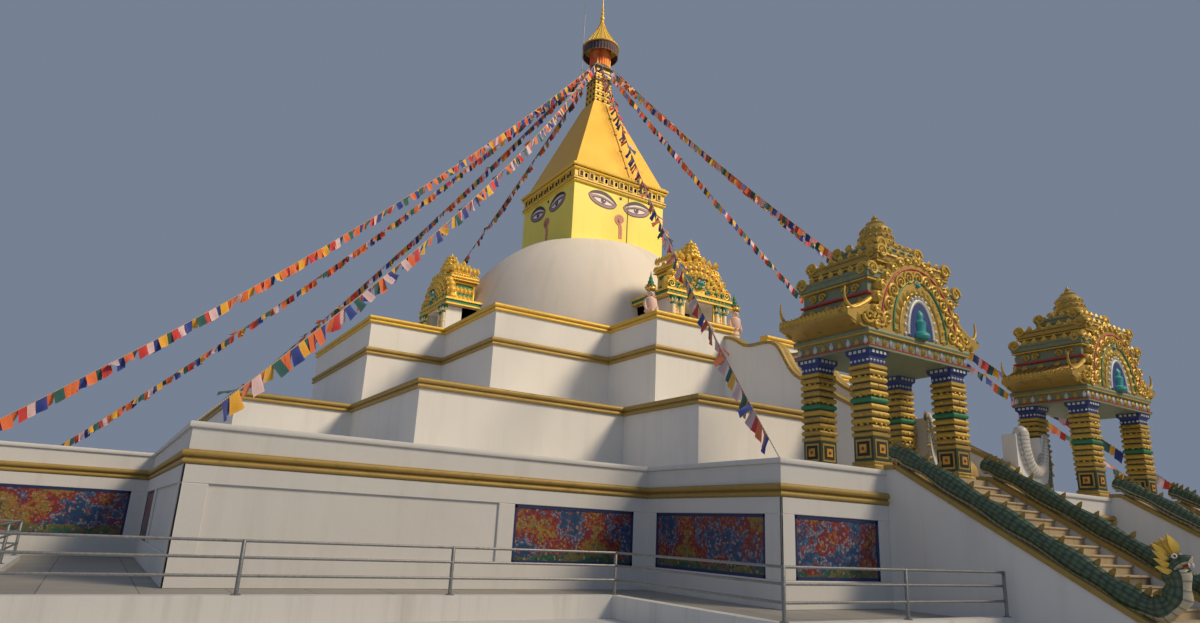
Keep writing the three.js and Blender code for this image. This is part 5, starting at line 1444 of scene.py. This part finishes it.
def gate_roof(mould):
    cx, cy, base = 5.0, -23.8, 6.65
    for flip in (-1, 1):
        eave = [(0.0, base), (2.10, base), (2.62, 6.86), (2.62, 6.98), (2.20, 7.08), (1.90, 7.26), (0.0, 7.30)]
        plate(mould, eave if flip > 0 else eave[::-1], -1.12, 1.12,
              lambda u, d, v, flip=flip: (cx + flip * u, cy + d, v), 0)
        for k in range(17):
            y = cy - 1.04 + 0.13 * k
            tube(mould, [(cx + flip * x, y, z) for x, z in ((1.35, 7.62), (1.80, 7.36), (2.25, 7.14), (2.58, 7.02))],
                 0.050, 8, 5 if k % 2 else 0)
            leaf(mould, (cx + flip * 2.60, y, 6.92), (flip * 0.3, 0, 1), (flip, 0, 0), 0.18, 4, 1.0)
        for y in (-1.05, 1.05):
            tube(mould, [(cx + flip * x, cy + y, z) for x, z in sampled(
                [(1.40, 7.66), (1.90, 7.30), (2.34, 7.08), (2.55, 7.16), (2.63, 7.36), (2.60, 7.58)], 4)],
                 [0.09 - 0.075 * k / 20 for k in range(21)], 10, 4)
            scroll(mould, (cx + flip * 2.45, cy + y * 1.02, 6.86), (flip, 0, 0), (0, 0, -1), (0, y, 0), 0.18, 1.4, 4, 0.2)
        for k in range(5):
            for y, sign in ((-1.12, -1), (1.12, 1)):
                leaf(mould, (cx + flip * (0.3 + 0.48 * k), cy + y, 6.68 + 0.03 * max(0, k - 3)), (flip * 0.15, 0, 1),
                     (0, sign, 0), 0.28, 4)
    for wide, deep, low, high, paint in ((1.90, 1.18, 7.25, 8.25, 2), (1.50, 1.18, 8.23, 8.80, 0),
                                         (0.95, 0.76, 8.78, 9.25, 2)):
        corner = ((cx - wide, cy - deep), (cx + wide, cy + deep))
        frame_rows(mould, *corner, [(-0.14, low), (-0.14, high - 0.30), (-0.05, high - 0.24), (-0.04, high - 0.14),
                                    (0.0, high - 0.10), (-0.02, high - 0.04), (-0.12, high)], paint)
        frame_rows(mould, *corner, [(-0.13, low + 0.30), (-0.07, low + 0.32), (-0.07, low + 0.37), (-0.13, low + 0.39)], 7)
        frame_rows(mould, *corner, [(-0.13, high - 0.34), (-0.05, high - 0.32), (-0.05, high - 0.28), (-0.13, high - 0.26)], 4)
        for across_wall, reach, far in ((True, wide, deep), (False, deep, wide)):
            for sign in (-1, 1):
                def on_tier(u, out, v, across_wall=across_wall, sign=sign, far=far):
                    return (cx + u, cy + sign * (far + out), v) if across_wall else (cx + sign * (far + out), cy + u, v)

                outward = (0, sign, 0) if across_wall else (sign, 0, 0)
                level_way = (1, 0, 0) if across_wall else (0, 1, 0)
                count = max(3, int(reach * 6.5))
                for k in range(count):
                    u = reach * 0.95 * (2 * (k + 0.5) / count - 1)
                    leaf(mould, on_tier(u, -0.02, high - 0.06), (0, 0, 1), outward, 0.19, 4, 0.95)
                count = max(2, int(reach * 3.4))
                for k in range(count):
                    u = reach * 0.9 * (2 * (k + 0.5) / count - 1)
                    turn_way = level_way if k % 2 else tuple(-v for v in level_way)
                    scroll(mould, on_tier(u, -0.12, low + 0.52), turn_way, (0, 0, 1), outward, 0.12, 1.4, 4, 0.26)
                    leaf(mould, on_tier(u, -0.14, low + 0.04), (0, 0, 1), outward, 0.26, 4, 1.0)
        for sx in (-1, 1):
            for sy in (-1, 1):
                scroll(mould, (cx + sx * (wide - 0.02), cy + sy * (deep - 0.03), high - 0.05), (sx, 0, 0), (0, 0, 1),
                       (0, sy, 0), 0.20, 1.4, 4, 0.26)
                scroll(mould, (cx + sx * (wide - 0.03), cy + sy * (deep - 0.02), high - 0.05), (0, sy, 0), (0, 0, 1),
                       (sx, 0, 0), 0.18, 1.4, 4, 0.26)
    for sign in (-1, 1):
        start = len(mould.points)
        arch = [(1.66 * math.cos(math.pi * k / 28), base + 1.98 * math.sin(math.pi * k / 28)) for k in range(29)]
        plate(mould, arch, -1.20, -0.9, lambda u, y, v: (u, y, v), 0)
        for k in range(17):
            turn = math.pi * k / 16
            c, h = math.cos(turn), math.sin(turn)
            x, z = 1.66 * c, base + 0.10 + 1.96 * h
            bead(mould, (x, -1.05, z), 0.205, 4, 12, 0.95)
            scroll(mould, (x + 0.10 * h, -1.22, z - 0.10 * c), (h, 0, -c), (c, 0, h), (0, -1, 0), 0.12, 1.3, 4, 0.24)
        for k in range(11):
            turn = math.pi * (k + 0.5) / 11
            c, h = math.cos(turn), math.sin(turn)
            scroll(mould, (1.30 * c + 0.18 * h, -1.20, base + 0.08 + 1.54 * h - 0.18 * c), (h, 0, -c), (c, 0, h),
                   (0, -1, 0), 0.20, 1.6, 4, 0.22)
            leaf(mould, (1.36 * c, -1.18, base + 0.08 + 1.60 * h), (c, 0, h), (0, -1, 0), 0.20, 0, 1.0)
        leaf_arch(mould, 0, base, 0.86, 1.3, -1.20, 0.22, 4, 0, 0.05, 15)
        for r, paint, thick in ((1.50, 7, 0.03), (1.06, 12, 0.035), (0.82, 0, 0.04), (0.50, 6, 0.05)):
            tube(mould, [(r * math.cos(math.pi * k / 24), -1.20, base + 0.06 + r * (1.2 if r > 1.2 else 1.4 if r > 0.6 else 1.9)
                          * math.sin(math.pi * k / 24)) for k in range(25)], thick, 8, paint)
        for k in range(15):
            turn = math.pi * k / 14
            bead(mould, (0.62 * math.cos(turn), -1.20, base + 0.06 + 1.06 * math.sin(turn)), 0.055, 6)
        plate(mould, [(0.48 * math.cos(math.pi * k / 16), base + 0.02 + 0.92 * math.sin(math.pi * k / 16))
                      for k in range(17)], -1.215, -1.10, lambda u, y, v: (u, y, v), 3)
        turned(mould, [(0.22, base + 0.02), (0.25, base + 0.07), (0.24, base + 0.14), (0.15, base + 0.20),
                       (0.16, base + 0.34), (0.18, base + 0.44), (0.10, base + 0.52), (0.12, base + 0.60),
                       (0.11, base + 0.68), (0.05, base + 0.76), (0.002, base + 0.84)], (0, -1.17), 14, 8)
        guardian_mask(mould, (0, -1.06, base + 1.46), 0.30, (8, 9, 10, 4))
        for flip in (-1, 1):
            scroll(mould, (flip * 1.80, -1.18, base + 0.24), (flip, 0, 0), (0, 0, 1), (0, -1, 0), 0.24, 1.5, 4, 0.24)
            scroll(mould, (flip * 2.12, -1.16, base + 0.30), (flip, 0, 0), (0, 0, -1), (0, -1, 0), 0.20, 1.4, 4, 0.26)
        mould.points[start:] = [(cx + x * -sign, cy + y * -sign, z) for x, y, z in mould.points[start:]]
    turned(mould, [(0.52, 9.22), (0.55, 9.27), (0.55, 9.36), (0.49, 9.40), (0.52, 9.45), (0.52, 9.56), (0.44, 9.62),
                   (0.46, 9.67), (0.46, 9.76), (0.39, 9.81), (0.41, 9.87), (0.40, 9.98), (0.32, 10.06), (0.22, 10.14),
                   (0.24, 10.19), (0.12, 10.25), (0.08, 10.30), (0.10, 10.34), (0.04, 10.40), (0.003, 10.49)],
           (cx, cy), 36, 0)
    for z, r in ((9.315, 0.555), (9.505, 0.525), (9.715, 0.465), (9.92, 0.41)):
        for k in range(18):
            turn = 2 * math.pi * k / 18
            bead(mould, (cx + r * math.cos(turn), cy + r * math.sin(turn), z), 0.034, 4, 6)


for side_name, flip in (("left", -1), ("right", 1)):
    posts = Mould()
    for x0 in (3.1, 6.28):
        for y0 in (-24.9, -23.32):
            gate_post(posts, x0, y0)
    frame_rows(posts, (3.0, -25.0), (7.0, -22.6),
               [(0.0, 6.15), (0.0, 6.21), (-0.06, 6.24), (-0.06, 6.50), (0.0, 6.53), (0.02, 6.59), (0.0, 6.65)], 2)
    frame_rows(posts, (3.0, -25.0), (7.0, -22.6), [(-0.03, 6.49), (0.012, 6.50), (0.012, 6.53), (-0.03, 6.54)], 4)
    frame_rows(posts, (3.0, -25.0), (7.0, -22.6), [(-0.03, 6.20), (0.012, 6.21), (0.012, 6.235), (-0.03, 6.25)], 7)
    for k in range(16):
        for y, sign in ((-24.95, -1), (-22.65, 1)):
            leaf(posts, (3.12 + 0.25 * k, y, 6.25), (0, 0, 1), (0, sign, 0), 0.22, 4 if k % 2 else 6)
    for k in range(9):
        for x, sign in ((3.05, -1), (6.95, 1)):
            leaf(posts, (x, -24.86 + 0.265 * k, 6.25), (0, 0, 1), (sign, 0, 0), 0.22, 4 if k % 2 else 6)
    roof = Mould()
    gate_roof(roof)
    for work in (posts, roof):
        work.points = [(flip * x, y, z) for x, y, z in work.points]
    posts.cast(f"gate_{side_name}_posts", PAINTS, "gate_paint", 35, replaces=f"gate_{side_name}")
    roof.cast(f"gate_{side_name}_crown", PAINTS, "gold_paint", 35, replaces=f"gate_{side_name}_roof")


# Plain pale studio: one floor, a broad warm key from the right of the front, a
# second one aimed at the upper half, and a pale surround that fills the shade.
floor = Mould()
floor.rows([[(-260, -260, -0.002), (260, -260, -0.002)], [(-260, 260, -0.002), (260, 260, -0.002)]], closed=False)
studio = Finish("studio_floor", Roughness=0.9)
studio.wear(studio.mix(studio.noise(0.05, 2), (0.60, 0.60, 0.60), (0.64, 0.64, 0.635)))
mesh = bpy.data.meshes.new("studio_floor")
mesh.from_pydata([[v * HALF_SIZE for v in p] for p in floor.points], [], floor.faces)
mesh.materials.append(studio.material)
ground = bpy.data.objects.new("studio_floor", mesh)
bpy.context.scene.collection.objects.link(ground)

for lamp_name, tilt, turn, strength, softness, tint in (
        ("key", 54, 34, 1.15, 16, (1.0, 0.82, 0.58)), ("fill", 62, -50, 0.06, 60, (0.76, 0.86, 1.0))):
    lamp = bpy.data.lights.new(lamp_name, "SUN")
    lamp.energy, lamp.angle, lamp.color = strength, math.radians(softness), tint
    holder = bpy.data.objects.new(lamp_name, lamp)
    holder.rotation_euler = (math.radians(tilt), 0, math.radians(turn))
    bpy.context.scene.collection.objects.link(holder)
AIM, AWAY = Vector((0, 0, 12.5)), Vector((31.7, -47.0, 41.1))
lamp = bpy.data.lights.new("upper_key", "SPOT")
lamp.energy, lamp.shadow_soft_size, lamp.color = 192000, 9.8, (1.0, 0.82, 0.58)
lamp.spot_size, lamp.spot_blend = math.radians(36), 1.0
holder = bpy.data.objects.new("upper_key", lamp)
holder.location = AIM + AWAY
holder.rotation_euler = AWAY.to_track_quat("Z", "Y").to_euler()
bpy.context.scene.collection.objects.link(holder)
world = bpy.data.worlds.new("surround")
world.use_nodes = True
backdrop = world.node_tree.nodes["Background"]
backdrop.inputs["Color"].default_value = (0.62, 0.75, 1.0, 1)
backdrop.inputs["Strength"].default_value = 0.29
bpy.context.scene.world = world
bpy.context.scene.view_settings.view_transform = "Standard"
